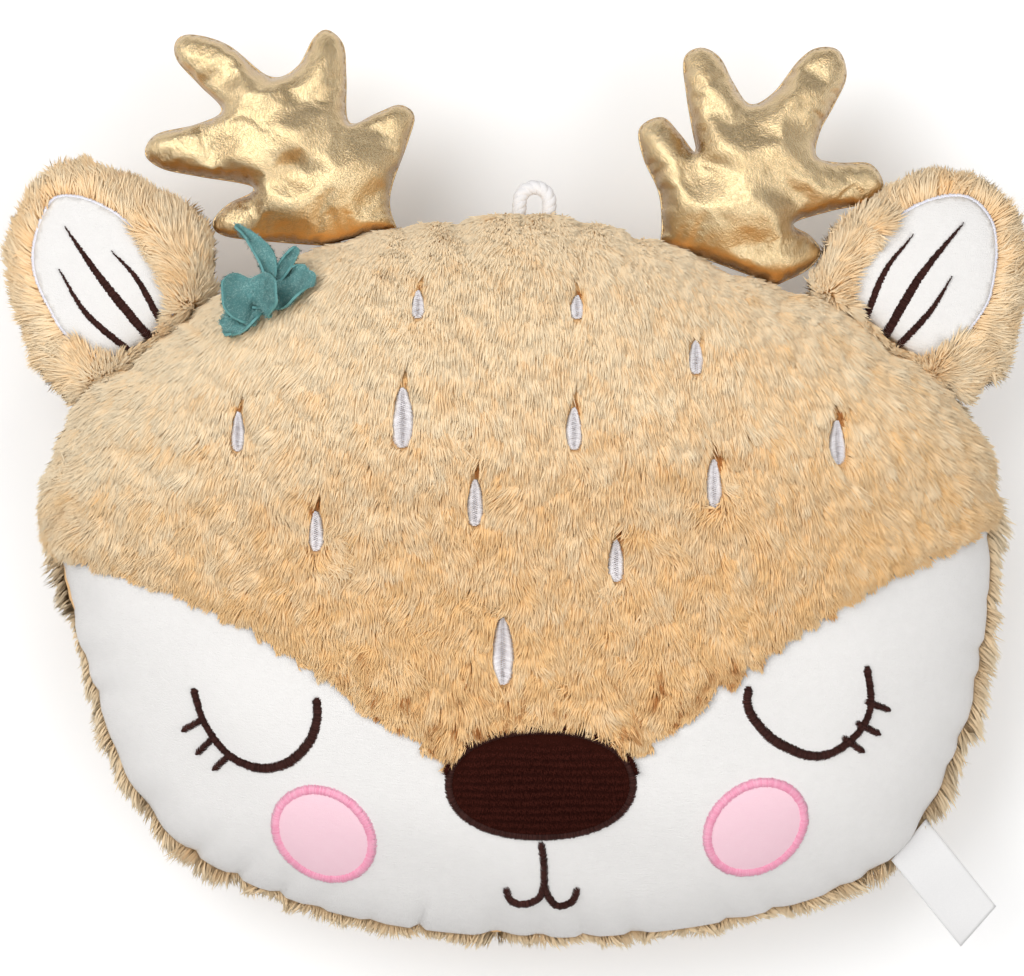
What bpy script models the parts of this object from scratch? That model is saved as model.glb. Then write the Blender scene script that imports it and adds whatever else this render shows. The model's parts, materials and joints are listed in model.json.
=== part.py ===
"""A stuffed deer-head cushion that lies on its back with its face up.

Metres, +Z up. The origin is the middle of the flat patch that the cushion rests on, +Y points to
the top of the head, and left and right are the sides seen by someone who looks at the face.
"""
import math

import bmesh
import bpy
import numpy as np
from mathutils import Matrix, Vector
from mathutils.geometry import delaunay_2d_cdt

# Head cushion. The crowns are measured from the seam that runs round the head.
HEAD_HALF_WIDTH = 0.173
HEAD_HALF_HEIGHT = 0.134
FACE_CROWN = 0.065
BACK_CROWN = 0.057
REST_CUT = 0.0005
CROWN_ROUNDNESS = 2.3
SEAM_PINCH = 0.62
HEAD_SIDES = 40
RING_SHARES = (0.36, 0.54, 0.70, 0.83, 0.92, 0.975, 1.0)
HEAD_OUTLINE_SHARES = (
    (1.00, 0.18), (0.96, 0.42), (0.85, 0.58), (0.66, 0.75), (0.45, 0.84), (0.28, 0.93), (0.04, 1.00),
    (-0.22, 0.97), (-0.44, 0.90), (-0.63, 0.78), (-0.81, 0.62), (-0.93, 0.48), (-0.99, 0.30),
    (-1.00, 0.13), (-0.96, -0.11), (-0.90, -0.35), (-0.83, -0.58), (-0.69, -0.77), (-0.44, -0.91),
    (-0.15, -0.98), (0.17, -0.99), (0.47, -0.94), (0.73, -0.83), (0.87, -0.66), (0.96, -0.38),
    (1.00, -0.08))
BROW_SEAM_SHARES = (
    (-1.20, 0.12), (-0.98, 0.05), (-0.82, 0.00), (-0.66, -0.07), (-0.53, -0.16), (-0.39, -0.28),
    (-0.27, -0.38), (-0.15, -0.50), (0.04, -0.62), (0.24, -0.47), (0.35, -0.36), (0.45, -0.26),
    (0.62, -0.11), (0.79, 0.01), (0.97, 0.11), (1.20, 0.20))

# Cloth, and the clearances between its layers
PANEL_THICKNESS = 0.0025
LAME_THICKNESS = 0.001
LAYER_GAP = 0.0004
SEAM_GAP = 0.0003
CUTTER_OVERRUN = 0.02
NORMAL_STEP = 0.0005
MERGE_DISTANCE = 0.000001

# Fineness: steps in each span of a smooth outline, points read along a limb's seat on the seam
CURVE_STEPS = 12
SEAT_POINTS = 25

# Embroidery on the face. Places are shares of the head's half sizes. A pad's foot and top are rings
# drawn in towards its middle by shares.
STITCH_HEIGHT = 0.001
STITCH_GAP = 0.0003
BORDER_WIDTH = 0.003
NOSE_HALF_WIDTH = 0.031
NOSE_HALF_HEIGHT = 0.0175
NOSE_SQUARENESS = 2.2
NOSE_SIDES = 20
NOSE_BORDER_SIDES = 28
NOSE_PLACE_SHARE = (0.042, -0.54)
NOSE_FOOT_SHARES = (0.25, 0.5, 0.75, 1.0)
NOSE_TOP_SHARES = (0.95, 0.5)
CHEEK_LONG_RADIUS = 0.0165
CHEEK_SHORT_RADIUS = 0.0135
CHEEK_SQUARENESS = 2.0
CHEEK_SIDES = 16
CHEEK_BORDER_SIDES = 22
CHEEK_TILT = 40.0
LEFT_CHEEK_PLACE_SHARE = (-0.41, -0.685)
RIGHT_CHEEK_PLACE_SHARE = (0.49, -0.665)
CHEEK_FOOT_SHARES = (0.35, 0.7, 1.0)
CHEEK_TOP_SHARES = (0.93, 0.5)
EYE_STROKE = 0.0029
EYE_POINTS = 14
LASH_STROKE = 0.002
LASH_POINTS = 3
MOUTH_STROKE = 0.0026
MOUTH_GAP = 0.0013
MOUTH_STEM_POINTS = 4
MOUTH_CURL_POINTS = 8
LEFT_EYE_SHARES = (
    (-0.68, -0.29), (-0.67, -0.38), (-0.65, -0.42), (-0.61, -0.48), (-0.54, -0.50), (-0.48, -0.48),
    (-0.44, -0.43), (-0.42, -0.37), (-0.42, -0.31))
LEFT_LASH_SHARES = (
    ((-0.67, -0.38), (-0.705, -0.405)),
    ((-0.645, -0.43), (-0.675, -0.468)),
    ((-0.61, -0.475), (-0.64, -0.51)))
RIGHT_EYE_SHARES = (
    (0.47, -0.28), (0.47, -0.34), (0.51, -0.41), (0.56, -0.45), (0.61, -0.47), (0.66, -0.455),
    (0.71, -0.40), (0.73, -0.33), (0.72, -0.23))
RIGHT_LASH_SHARES = (
    ((0.73, -0.33), (0.77, -0.35)),
    ((0.71, -0.39), (0.75, -0.415)),
    ((0.68, -0.43), (0.715, -0.462)))
MOUTH_STEM_SHARES = ((0.049, -0.76), (0.05, -0.83))
MOUTH_LEFT_SHARES = ((0.05, -0.82), (0.04, -0.86), (0.01, -0.88), (-0.02, -0.87), (-0.03, -0.83))
MOUTH_RIGHT_SHARES = ((0.05, -0.82), (0.06, -0.86), (0.08, -0.885), (0.11, -0.87), (0.12, -0.83))

# Spots: place across and up, then width and length, each as a share of the largest spot's
SPOT_WIDTH = 0.0086
SPOT_LENGTH = 0.024
SPOT_SIDES = 12
SPOT_FOOT_SHARES = (0.5, 1.0)
SPOT_TOP_SHARES = (0.8,)
TEARDROP_FULLNESS_SHARE = 1.25
SPOT_SHARES = (
    (-0.213, 0.740, 0.63, 0.43), (0.118, 0.732, 0.63, 0.36), (0.365, 0.597, 0.71, 0.51),
    (-0.242, 0.434, 1.00, 0.90), (0.110, 0.405, 0.76, 0.63), (0.398, 0.259, 0.71, 0.72),
    (-0.093, 0.209, 0.76, 0.69), (-0.420, 0.134, 0.71, 0.60), (0.196, 0.056, 0.71, 0.63),
    (-0.036, -0.182, 1.00, 1.00), (-0.585, 0.398, 0.63, 0.60), (0.658, 0.369, 0.76, 0.66))

# Limbs are flat bags sewn along the head's seam, each at an angle round the head's outline of
# shares. Their own outlines run from the left end of the sewn edge round to its right end, across
# and out from the head, as shares of the half width and the length.
SEAT_CLEARANCE = 0.0002
SEWN_EDGE_REACH = 0.0003
EAR_HALF_WIDTH = 0.0405
EAR_LENGTH = 0.068
EAR_SWELL = 0.011
EAR_FACET = 0.0095
EAR_LINING_GAP = 0.0007
EAR_LINING_THICKNESS = 0.0012
EAR_PIPING_WIDTH = 0.0022
EAR_PIPING_SIDES = 26
EAR_STRIPE_WIDTH = 0.004
EAR_STRIPE_SIDES = 18
EAR_STRIPE_FOOT_SHARES = (0.3, 0.65, 1.0)
EAR_STRIPE_TOP_SHARES = (0.8,)
LEFT_EAR_ANGLE = 141.1
RIGHT_EAR_ANGLE = 39.8
LEFT_EAR_SHARES = (
    (-0.80, 0.00), (-0.81, 0.11), (-0.74, 0.30), (-0.62, 0.52), (-0.46, 0.73), (-0.20, 0.90),
    (0.05, 0.97), (0.30, 1.00), (0.46, 0.98), (0.60, 0.90), (0.83, 0.66), (1.00, 0.38),
    (0.94, 0.18), (0.78, 0.00))
LEFT_LINING_SHARES = (
    (0.12, 0.90), (-0.20, 0.79), (-0.36, 0.68), (-0.48, 0.51), (-0.54, 0.34), (-0.47, 0.22),
    (-0.22, 0.13), (0.05, 0.12), (0.26, 0.13), (0.44, 0.20), (0.56, 0.38), (0.55, 0.55),
    (0.46, 0.72), (0.32, 0.85))
LEFT_STRIPE_SHARES = ((-0.20, 0.17, 0.58), (0.06, 0.16, 0.75), (0.27, 0.17, 0.50))
RIGHT_EAR_SHARES = (
    (-0.89, 0.00), (-0.90, 0.14), (-0.88, 0.37), (-0.81, 0.52), (-0.71, 0.68), (-0.56, 0.81),
    (-0.34, 0.90), (-0.09, 0.94), (0.13, 0.91), (0.35, 0.81), (0.61, 0.61), (0.77, 0.41),
    (0.86, 0.22), (0.86, 0.00))
RIGHT_LINING_SHARES = (
    (-0.05, 0.86), (-0.27, 0.78), (-0.46, 0.64), (-0.58, 0.47), (-0.61, 0.30), (-0.54, 0.19),
    (-0.34, 0.13), (0.00, 0.12), (0.33, 0.13), (0.47, 0.19), (0.50, 0.30), (0.51, 0.42),
    (0.47, 0.55), (0.35, 0.69), (0.17, 0.81))
RIGHT_STRIPE_SHARES = ((-0.30, 0.17, 0.52), (-0.05, 0.16, 0.72), (0.15, 0.17, 0.44))

ANTLER_HALF_WIDTH = 0.05
ANTLER_LENGTH = 0.088
ANTLER_SWELL = 0.0125
ANTLER_FACET = 0.007
LEFT_ANTLER_ANGLE = 109.9
RIGHT_ANTLER_ANGLE = 64.2
LEFT_ANTLER_SHARES = (
    (-0.28, 0.00), (-0.60, 0.06), (-0.97, 0.14), (-1.04, 0.21), (-0.90, 0.27), (-0.68, 0.31),
    (-1.05, 0.41), (-1.30, 0.48), (-1.40, 0.56), (-1.28, 0.63), (-0.98, 0.63), (-0.77, 0.66),
    (-0.88, 0.78), (-1.00, 0.91), (-0.97, 0.99), (-0.84, 1.00), (-0.60, 0.92), (-0.36, 0.75),
    (-0.15, 0.76), (0.02, 0.86), (0.14, 0.88), (0.23, 0.80), (0.19, 0.66), (0.13, 0.48),
    (0.34, 0.49), (0.52, 0.50), (0.61, 0.44), (0.52, 0.34), (0.33, 0.18), (0.27, 0.09),
    (0.28, 0.00))
RIGHT_ANTLER_SHARES = (
    (-0.46, 0.00), (-0.51, 0.09), (-0.61, 0.20), (-0.80, 0.31), (-0.90, 0.42), (-0.77, 0.50),
    (-0.60, 0.46), (-0.45, 0.41), (-0.54, 0.50), (-0.66, 0.62), (-0.77, 0.76), (-0.68, 0.83),
    (-0.52, 0.82), (-0.36, 0.74), (-0.19, 0.68), (-0.06, 0.76), (0.03, 0.92), (0.13, 1.00),
    (0.29, 1.02), (0.41, 0.93), (0.40, 0.80), (0.37, 0.67), (0.41, 0.57), (0.58, 0.58),
    (0.80, 0.62), (0.95, 0.55), (0.88, 0.46), (0.64, 0.37), (0.42, 0.27), (0.56, 0.25),
    (0.68, 0.20), (0.64, 0.11), (0.46, 0.00))

# A bag's swelling is worked out on a grid, and its facets keep clear of its rim by a share
MEMBRANE_CELLS = 56
MEMBRANE_STEPS = 1500
RIM_MARGIN_SHARE = 0.6

# Flower: for each petal its bearing in the picture and its rise, in degrees, then its length and
# width as shares of the longest petal's length, and its twist in degrees. A petal is the stretch of
# a half wave between its root's share and its tip's.
FLOWER_PLACE_SHARE = (-0.556, 0.745)
FLOWER_HUB_RADIUS = 0.0032
FLOWER_KNOT_RADIUS = 0.0012
FLOWER_KNOT_BEARING = -75.0
FLOWER_KNOT_RISE = 50.0
PETAL_LENGTH = 0.028
PETAL_THICKNESS = 0.002
PETAL_STEPS = 5
PETAL_SIDES = 8
PETAL_ROOT_SHARE = 0.04
PETAL_TIP_SHARE = 0.88
PETAL_BLUNTNESS = 0.8
PETAL_SHARES = (
    (212.0, 12.0, 0.58, 0.48, 0.0),
    (29.0, 16.0, 0.76, 0.46, 0.0),
    (98.0, 46.0, 0.66, 0.70, 0.0),
    (112.0, 42.0, 1.00, 0.40, 75.0),
    (57.0, 44.0, 0.90, 0.36, 30.0))

# Hanging loop of cord, and the sewn-in label
LOOP_ANGLE = 88.3
LOOP_CORD_DIAMETER = 0.005
LOOP_CORD_BEVEL_STEPS = 2
LOOP_HALF_SPAN = 0.0055
LOOP_STRAIGHT = 0.0045
LOOP_PINCH_LENGTH = 0.0022
LOOP_PINCH_SHARE = 0.16
LOOP_ARCH_POINTS = 13
LABEL_ANGLE = -41.0
LABEL_WIDTH = 0.02
LABEL_LENGTH = 0.042
LABEL_THICKNESS = 0.0007
LABEL_LEAN = 17.0
LABEL_DROOP = 0.009
LABEL_STEPS = 7

COLOURS = {
    "tan_fur": (0.63, 0.41, 0.22),
    "white_velour": (0.84, 0.81, 0.77),
    "stuffing": (0.86, 0.85, 0.82),
    "dark_brown_velour": (0.045, 0.026, 0.019),
    "dark_brown_stitching": (0.030, 0.018, 0.014),
    "pink_velour": (0.72, 0.40, 0.40),
    "pink_stitching": (0.62, 0.27, 0.28),
    "silver_lilac_satin": (0.66, 0.63, 0.66),
    "gold_lame": (0.62, 0.42, 0.16),
    "teal_fleece": (0.10, 0.38, 0.36),
    "white_cord": (0.83, 0.81, 0.77),
    "white_satin_ribbon": (0.86, 0.86, 0.85)}
FABRIC_ROUGHNESS = 0.9
SATIN_ROUGHNESS = 0.45
LAME_ROUGHNESS = 0.35
LAME_METALLIC = 0.8
SHARP_ANGLE = math.radians(50.0)

SEAM_HEIGHT = BACK_CROWN - REST_CUT + SEAM_GAP / 2


def clear_scene():
    """Start from an empty scene."""
    for item in list(bpy.data.objects):
        bpy.data.objects.remove(item, do_unlink=True)


def material(name):
    """The plain finish of one kind of cloth or thread."""
    found = bpy.data.materials.get(name)
    if found:
        return found
    made = bpy.data.materials.new(name)
    made.use_nodes = True
    shader = made.node_tree.nodes["Principled BSDF"]
    shader.inputs["Base Color"].default_value = (*COLOURS[name], 1.0)
    shader.inputs["Roughness"].default_value = FABRIC_ROUGHNESS
    if "satin" in name or "stitching" in name:
        shader.inputs["Roughness"].default_value = SATIN_ROUGHNESS
    if name == "gold_lame":
        shader.inputs["Roughness"].default_value = LAME_ROUGHNESS
        shader.inputs["Metallic"].default_value = LAME_METALLIC
    return made


def add_part(name, mesh, finish, parent=None):
    """Put a finished mesh in the scene under its node's name."""
    mesh.name = name
    mesh.materials.clear()
    mesh.materials.append(material(finish))
    mesh.shade_smooth()
    mesh.set_sharp_from_angle(angle=SHARP_ANGLE)
    part = bpy.data.objects.new(name, mesh)
    bpy.context.collection.objects.link(part)
    part.parent = parent
    return part


def mesh_from(work):
    """A mesh with its faces pointing out, from a bmesh that is then freed."""
    bmesh.ops.recalc_face_normals(work, faces=work.faces)
    mesh = bpy.data.meshes.new("made")
    work.to_mesh(mesh)
    work.free()
    return mesh


def combine(mesh, other, operation):
    """The exact Boolean of two closed meshes, as a new mesh."""
    first = bpy.data.objects.new("first", mesh)
    second = bpy.data.objects.new("second", other)
    for item in (first, second):
        bpy.context.collection.objects.link(item)
    cut = first.modifiers.new("cut", "BOOLEAN")
    cut.operation = operation
    cut.object = second
    view = bpy.context.evaluated_depsgraph_get()
    result = bpy.data.meshes.new_from_object(first.evaluated_get(view))
    for item in (first, second):
        bpy.data.objects.remove(item)
    return result


def joined(meshes):
    """One body from several that overlap."""
    whole = meshes[0]
    for other in meshes[1:]:
        whole = combine(whole, other, "UNION")
    return whole


def loft(rings, closed_path=False):
    """A closed body through rings of equally many points."""
    work = bmesh.new()
    loops = [[work.verts.new(point) for point in ring] for ring in rings]
    pairs = list(zip(loops, loops[1:]))
    if closed_path:
        pairs.append((loops[-1], loops[0]))
    for low, high in pairs:
        for index in range(len(low)):
            after = (index + 1) % len(low)
            work.faces.new((low[index], low[after], high[after], high[index]))
    if not closed_path:
        work.faces.new(tuple(reversed(loops[0])))
        work.faces.new(tuple(loops[-1]))
    return mesh_from(work)


def curve_through(points, closed):
    """A fine Catmull-Rom curve through the points."""
    points = [np.array(point, dtype=float) for point in points]
    spans = len(points) if closed else len(points) - 1
    if not closed:
        points = [2 * points[0] - points[1], *points, 2 * points[-1] - points[-2]]
    line = []
    shift = -1 if closed else 0
    for index in range(spans):
        before, start, end, after = (points[(index + shift + k) % len(points)] for k in range(4))
        for step in range(CURVE_STEPS):
            share = step / CURVE_STEPS
            line.append(0.5 * (2 * start + (end - before) * share
                               + (2 * before - 5 * start + 4 * end - after) * share ** 2
                               + (3 * start - before - 3 * end + after) * share ** 3))
    line.append(points[0] if closed else points[-2])
    return np.array(line)


def even_points(line, count):
    """Evenly spaced points along a fine curve, both its ends among them."""
    travelled = np.concatenate(([0.0], np.cumsum(np.linalg.norm(np.diff(line, axis=0), axis=1))))
    stops = np.linspace(0.0, travelled[-1], count)
    return np.stack([np.interp(stops, travelled, values) for values in line.T], axis=1)


def run_length(line):
    """The length of a fine curve."""
    return float(np.linalg.norm(np.diff(line, axis=0), axis=1).sum())


HEAD_LINE = curve_through(HEAD_OUTLINE_SHARES, closed=True) * (HEAD_HALF_WIDTH, HEAD_HALF_HEIGHT)
HEAD_ANGLES = np.arctan2(HEAD_LINE[:, 1], HEAD_LINE[:, 0])
HEAD_RADII = np.hypot(HEAD_LINE[:, 0], HEAD_LINE[:, 1])


def head_radius(angle):
    """Distance from the head's middle to its seam, seen from above."""
    return float(np.interp(angle, HEAD_ANGLES, HEAD_RADII, period=2 * math.pi))


def crown_share(share):
    """Height above the seam, as a share of the crown, at a share of the way out to the seam."""
    return max(0.0, 1.0 - share ** CROWN_ROUNDNESS) ** SEAM_PINCH


def flat_share():
    """How far out the back reaches the height of the cut that it rests on."""
    kept = 1.0 - REST_CUT / BACK_CROWN
    return (1.0 - kept ** (1.0 / SEAM_PINCH)) ** (1.0 / CROWN_ROUNDNESS)


def face_point(x, y):
    """The point of the face's outer surface over a place."""
    share = math.hypot(x, y) / head_radius(math.atan2(y, x))
    return Vector((x, y, SEAM_HEIGHT + SEAM_GAP / 2 + FACE_CROWN * crown_share(min(share, 1.0))))


def head_place(shares):
    """A place on the head from its shares of the half sizes."""
    return shares[0] * HEAD_HALF_WIDTH, shares[1] * HEAD_HALF_HEIGHT


def head_places(rows):
    """Places on the head from rows of shares."""
    return [head_place(shares) for shares in rows]


def surface_normal(surface, x, y):
    """The outward normal of a surface given as a function of the place."""
    across = surface(x + NORMAL_STEP, y) - surface(x - NORMAL_STEP, y)
    along = surface(x, y + NORMAL_STEP) - surface(x, y - NORMAL_STEP)
    return across.cross(along).normalized()


def lifted(surface, x, y, lift):
    """A point above a surface, square to it."""
    return surface(x, y) + surface_normal(surface, x, y) * lift


def head_rings(crown, inset, lift):
    """Rings of one half of the head, from the crown down to the seam, drawn in by inset."""
    rings = []
    for share in (flat_share(), *RING_SHARES):
        height = SEAM_HEIGHT + lift + math.copysign(abs(crown) - inset, crown) * crown_share(share)
        ring = []
        for side in range(HEAD_SIDES):
            angle = 2 * math.pi * side / HEAD_SIDES
            radius = (head_radius(angle) - inset) * share
            ring.append((radius * math.cos(angle), radius * math.sin(angle), height))
        rings.append(ring)
    return rings


def head_shell(crown):
    """The cloth of the face half or, with a negative crown, of the back half."""
    lift = math.copysign(SEAM_GAP / 2, crown)
    outer = head_rings(crown, 0.0, lift)
    inner = head_rings(crown, PANEL_THICKNESS, lift)
    return loft(outer + inner[::-1])


def head_filling():
    """The wadding that fills the head."""
    inset = PANEL_THICKNESS + LAYER_GAP
    front = head_rings(FACE_CROWN, inset, 0.0)
    back = head_rings(-BACK_CROWN, inset, 0.0)
    return loft(front + back[-2::-1])


def brow_cutter(above):
    """A block over all of the face on one side of the brow seam, clear of it by half a gap."""
    side = 1.0 if above else -1.0
    far = side * (HEAD_HALF_HEIGHT + CUTTER_OVERRUN)
    line = [(x, y + side * SEAM_GAP) for x, y in head_places(BROW_SEAM_SHARES)]
    edge = line + [(line[-1][0], far), (line[0][0], far)]
    levels = (SEAM_HEIGHT - CUTTER_OVERRUN, SEAM_HEIGHT + FACE_CROWN + CUTTER_OVERRUN)
    return loft([[(x, y, level) for x, y in edge] for level in levels])


def build_head():
    """The wadding, and the three cloth panels that enclose it."""
    add_part("head_stuffing", head_filling(), "stuffing")
    add_part("back_panel", head_shell(-BACK_CROWN), "tan_fur")
    forehead = combine(head_shell(FACE_CROWN), brow_cutter(above=True), "INTERSECT")
    add_part("forehead_panel", forehead, "tan_fur")
    face = combine(head_shell(FACE_CROWN), brow_cutter(above=False), "INTERSECT")
    add_part("face_panel", face, "white_velour")


def patch(outline, surface, bottom_shares, top_shares, gap, height):
    """A thin pad on a surface, from its closed outline, drawn in towards its middle by shares."""
    outline = np.asarray(outline)
    middle = outline.mean(axis=0)

    def ring(share, lift):
        return [lifted(surface, *(middle + (point - middle) * share), lift) for point in outline]

    rings = [ring(share, gap) for share in bottom_shares]
    rings += [ring(share, gap + height) for share in top_shares]
    return loft(rings)


def directions(path, closed):
    """Unit directions along a path of places."""
    path = np.asarray(path)
    if closed:
        ahead = np.roll(path, -1, axis=0) - np.roll(path, 1, axis=0)
    else:
        ahead = np.gradient(path, axis=0)
    return ahead / np.linalg.norm(ahead, axis=1)[:, None]


def drawn_in(outline, distance):
    """An outline that runs counter-clockwise, moved in by a distance, or out by a negative one."""
    ahead = directions(outline, closed=True)
    return np.asarray(outline) + np.stack([-ahead[:, 1], ahead[:, 0]], axis=1) * distance


def ribbon(path, surface, width, gap, height, closed=False):
    """A raised line of stitching along a path on a surface."""
    rings = []
    for place, ahead in zip(path, directions(path, closed)):
        side = np.array((ahead[1], -ahead[0])) * width / 2
        feet = [lifted(surface, *(place + side * way), gap) for way in (-1.0, 1.0)]
        backs = [lifted(surface, *(place + side * way / 2), gap + height) for way in (1.0, -1.0)]
        rings.append(feet + backs)
    return loft(rings, closed_path=closed)


def stroke(places, width, points):
    """A stitched line on the face, smooth through its places."""
    line = curve_through(places, closed=False)
    return ribbon(even_points(line, points), face_point, width, STITCH_GAP, STITCH_HEIGHT)


def rounded_oval(centre, half_width, half_height, squareness, tilt, sides):
    """A closed outline, counter-clockwise, between an ellipse and a rectangle."""
    turn = math.radians(tilt)
    points = []
    for side in range(sides):
        angle = 2 * math.pi * side / sides
        across = math.copysign(abs(math.cos(angle)) ** (2 / squareness), math.cos(angle)) * half_width
        along = math.copysign(abs(math.sin(angle)) ** (2 / squareness), math.sin(angle)) * half_height
        points.append((centre[0] + across * math.cos(turn) - along * math.sin(turn),
                       centre[1] + across * math.sin(turn) + along * math.cos(turn)))
    return points


def teardrop(centre, width, length, sides):
    """A closed outline, counter-clockwise, pointed at its far end and round at its near one."""
    points = []
    for side in range(sides):
        angle = 2 * math.pi * side / sides
        fullness = TEARDROP_FULLNESS_SHARE * math.sin(angle / 2)
        points.append((centre[0] - width / 2 * math.sin(angle) * fullness,
                       centre[1] + length / 2 * math.cos(angle)))
    return points


def border_path(centre, half_width, half_height, squareness, tilt, sides):
    """The middle line of the satin border just outside an oval patch."""
    reach = SEAM_GAP + BORDER_WIDTH / 2
    wider, higher = half_width + reach, half_height + reach
    return np.array(rounded_oval(centre, wider, higher, squareness, tilt, sides))


def build_nose():
    """The velour nose and its satin border."""
    shape = (head_place(NOSE_PLACE_SHARE), NOSE_HALF_WIDTH, NOSE_HALF_HEIGHT, NOSE_SQUARENESS, 0.0)
    oval = rounded_oval(*shape, NOSE_SIDES)
    pad = patch(oval, face_point, NOSE_FOOT_SHARES, NOSE_TOP_SHARES, STITCH_GAP, STITCH_HEIGHT)
    add_part("nose_patch", pad, "dark_brown_velour")
    path = border_path(*shape, NOSE_BORDER_SIDES)
    edge = ribbon(path, face_point, BORDER_WIDTH, STITCH_GAP, STITCH_HEIGHT, closed=True)
    add_part("nose_border", edge, "dark_brown_stitching")


def build_cheek(side, place_share, tilt):
    """One velour cheek and its satin border."""
    shape = (head_place(place_share), CHEEK_LONG_RADIUS, CHEEK_SHORT_RADIUS, CHEEK_SQUARENESS, tilt)
    oval = rounded_oval(*shape, CHEEK_SIDES)
    pad = patch(oval, face_point, CHEEK_FOOT_SHARES, CHEEK_TOP_SHARES, STITCH_GAP, STITCH_HEIGHT)
    add_part(f"{side}_cheek_patch", pad, "pink_velour")
    path = border_path(*shape, CHEEK_BORDER_SIDES)
    edge = ribbon(path, face_point, BORDER_WIDTH, STITCH_GAP, STITCH_HEIGHT, closed=True)
    add_part(f"{side}_cheek_border", edge, "pink_stitching")


def build_eye(side, arc_shares, lashes):
    """One closed eye: its arc and its lashes."""
    strokes = [stroke(head_places(arc_shares), EYE_STROKE, EYE_POINTS)]
    for lash_shares in lashes:
        strokes.append(stroke(head_places(lash_shares), LASH_STROKE, LASH_POINTS))
    add_part(f"{side}_eye_stitching", joined(strokes), "dark_brown_stitching")


def build_mouth():
    """The mouth: a stem down from just under the nose's border, and a curl to each side."""
    across, up = head_place(NOSE_PLACE_SHARE)
    top = (across, up - NOSE_HALF_HEIGHT - SEAM_GAP - BORDER_WIDTH - MOUTH_GAP)
    strokes = [stroke([top, *head_places(MOUTH_STEM_SHARES)], MOUTH_STROKE, MOUTH_STEM_POINTS)]
    for curl_shares in (MOUTH_LEFT_SHARES, MOUTH_RIGHT_SHARES):
        strokes.append(stroke(head_places(curl_shares), MOUTH_STROKE, MOUTH_CURL_POINTS))
    add_part("mouth_stitching", joined(strokes), "dark_brown_stitching")


def build_spots():
    """The satin spots on the forehead."""
    for number, (across, up, width, length) in enumerate(SPOT_SHARES, 1):
        centre = head_place((across, up))
        outline = teardrop(centre, width * SPOT_WIDTH, length * SPOT_LENGTH, SPOT_SIDES)
        pad = patch(outline, face_point, SPOT_FOOT_SHARES, SPOT_TOP_SHARES, STITCH_GAP, STITCH_HEIGHT)
        add_part(f"spot_{number:02d}", pad, "silver_lilac_satin")


def seam_point(angle):
    """The point of the head's seam at an angle, seen from above."""
    radius = head_radius(angle)
    return np.array((radius * math.cos(angle), radius * math.sin(angle)))


def seat(name, degrees, half_span):
    """An empty on a limb's sewn edge: X along the seam, Y out from the head, Z up."""
    around = math.radians(degrees)
    middle = math.atan2(math.sin(around) * HEAD_HALF_HEIGHT, math.cos(around) * HEAD_HALF_WIDTH)
    spread = math.asin(half_span / head_radius(middle))
    sweep = [seam_point(angle) for angle in np.linspace(middle + spread, middle - spread, SEAT_POINTS)]
    along = (sweep[-1] - sweep[0]) / np.linalg.norm(sweep[-1] - sweep[0])
    out = np.array((-along[1], along[0]))
    bulge = max(float((point - sweep[0]) @ out) for point in sweep)
    origin = (sweep[0] + sweep[-1]) / 2 + out * (bulge + SEAT_CLEARANCE)
    empty = bpy.data.objects.new(name, None)
    bpy.context.collection.objects.link(empty)
    turn = Matrix(((along[0], out[0], 0.0), (along[1], out[1], 0.0), (0.0, 0.0, 1.0)))
    empty.matrix_world = Matrix.Translation((*origin, SEAM_HEIGHT)) @ turn.to_4x4()
    return empty


def contains(outline, points):
    """Which points lie inside a closed outline."""
    inside = np.zeros(len(points), dtype=bool)
    for start, end in zip(outline, np.roll(outline, -1, axis=0)):
        crosses = (start[1] > points[:, 1]) != (end[1] > points[:, 1])
        rise = end[1] - start[1]
        if rise:
            at = start[0] + (points[:, 1] - start[1]) / rise * (end[0] - start[0])
            inside ^= crosses & (points[:, 0] < at)
    return inside


def distance_to(outline, points):
    """Distance from each point to a closed outline."""
    nearest = np.full(len(points), np.inf)
    for start, end in zip(outline, np.roll(outline, -1, axis=0)):
        run = end - start
        share = np.clip((points - start) @ run / (run @ run), 0.0, 1.0)
        nearest = np.minimum(nearest, np.linalg.norm(points - start - share[:, None] * run, axis=1))
    return nearest


def facets_on(places, edge):
    """Triangles on all the places, inside the closed rim that the first ones make."""
    rim = [(index, (index + 1) % edge) for index in range(edge)]
    found = delaunay_2d_cdt(places, rim, [], 1, MERGE_DISTANCE)
    origins = [source[0] for source in found[3]]
    return [tuple(origins[corner] for corner in face) for face in found[2]]


def rim_bridges(triangles, edge):
    """Sides of triangles that cross the bag from rim to rim, where it would have no thickness."""
    bridges = set()
    for triangle in triangles:
        for start, end in zip(triangle, triangle[1:] + triangle[:1]):
            if max(start, end) < edge and (end - start) % edge not in (1, edge - 1):
                bridges.add((min(start, end), max(start, end)))
    return bridges


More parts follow.
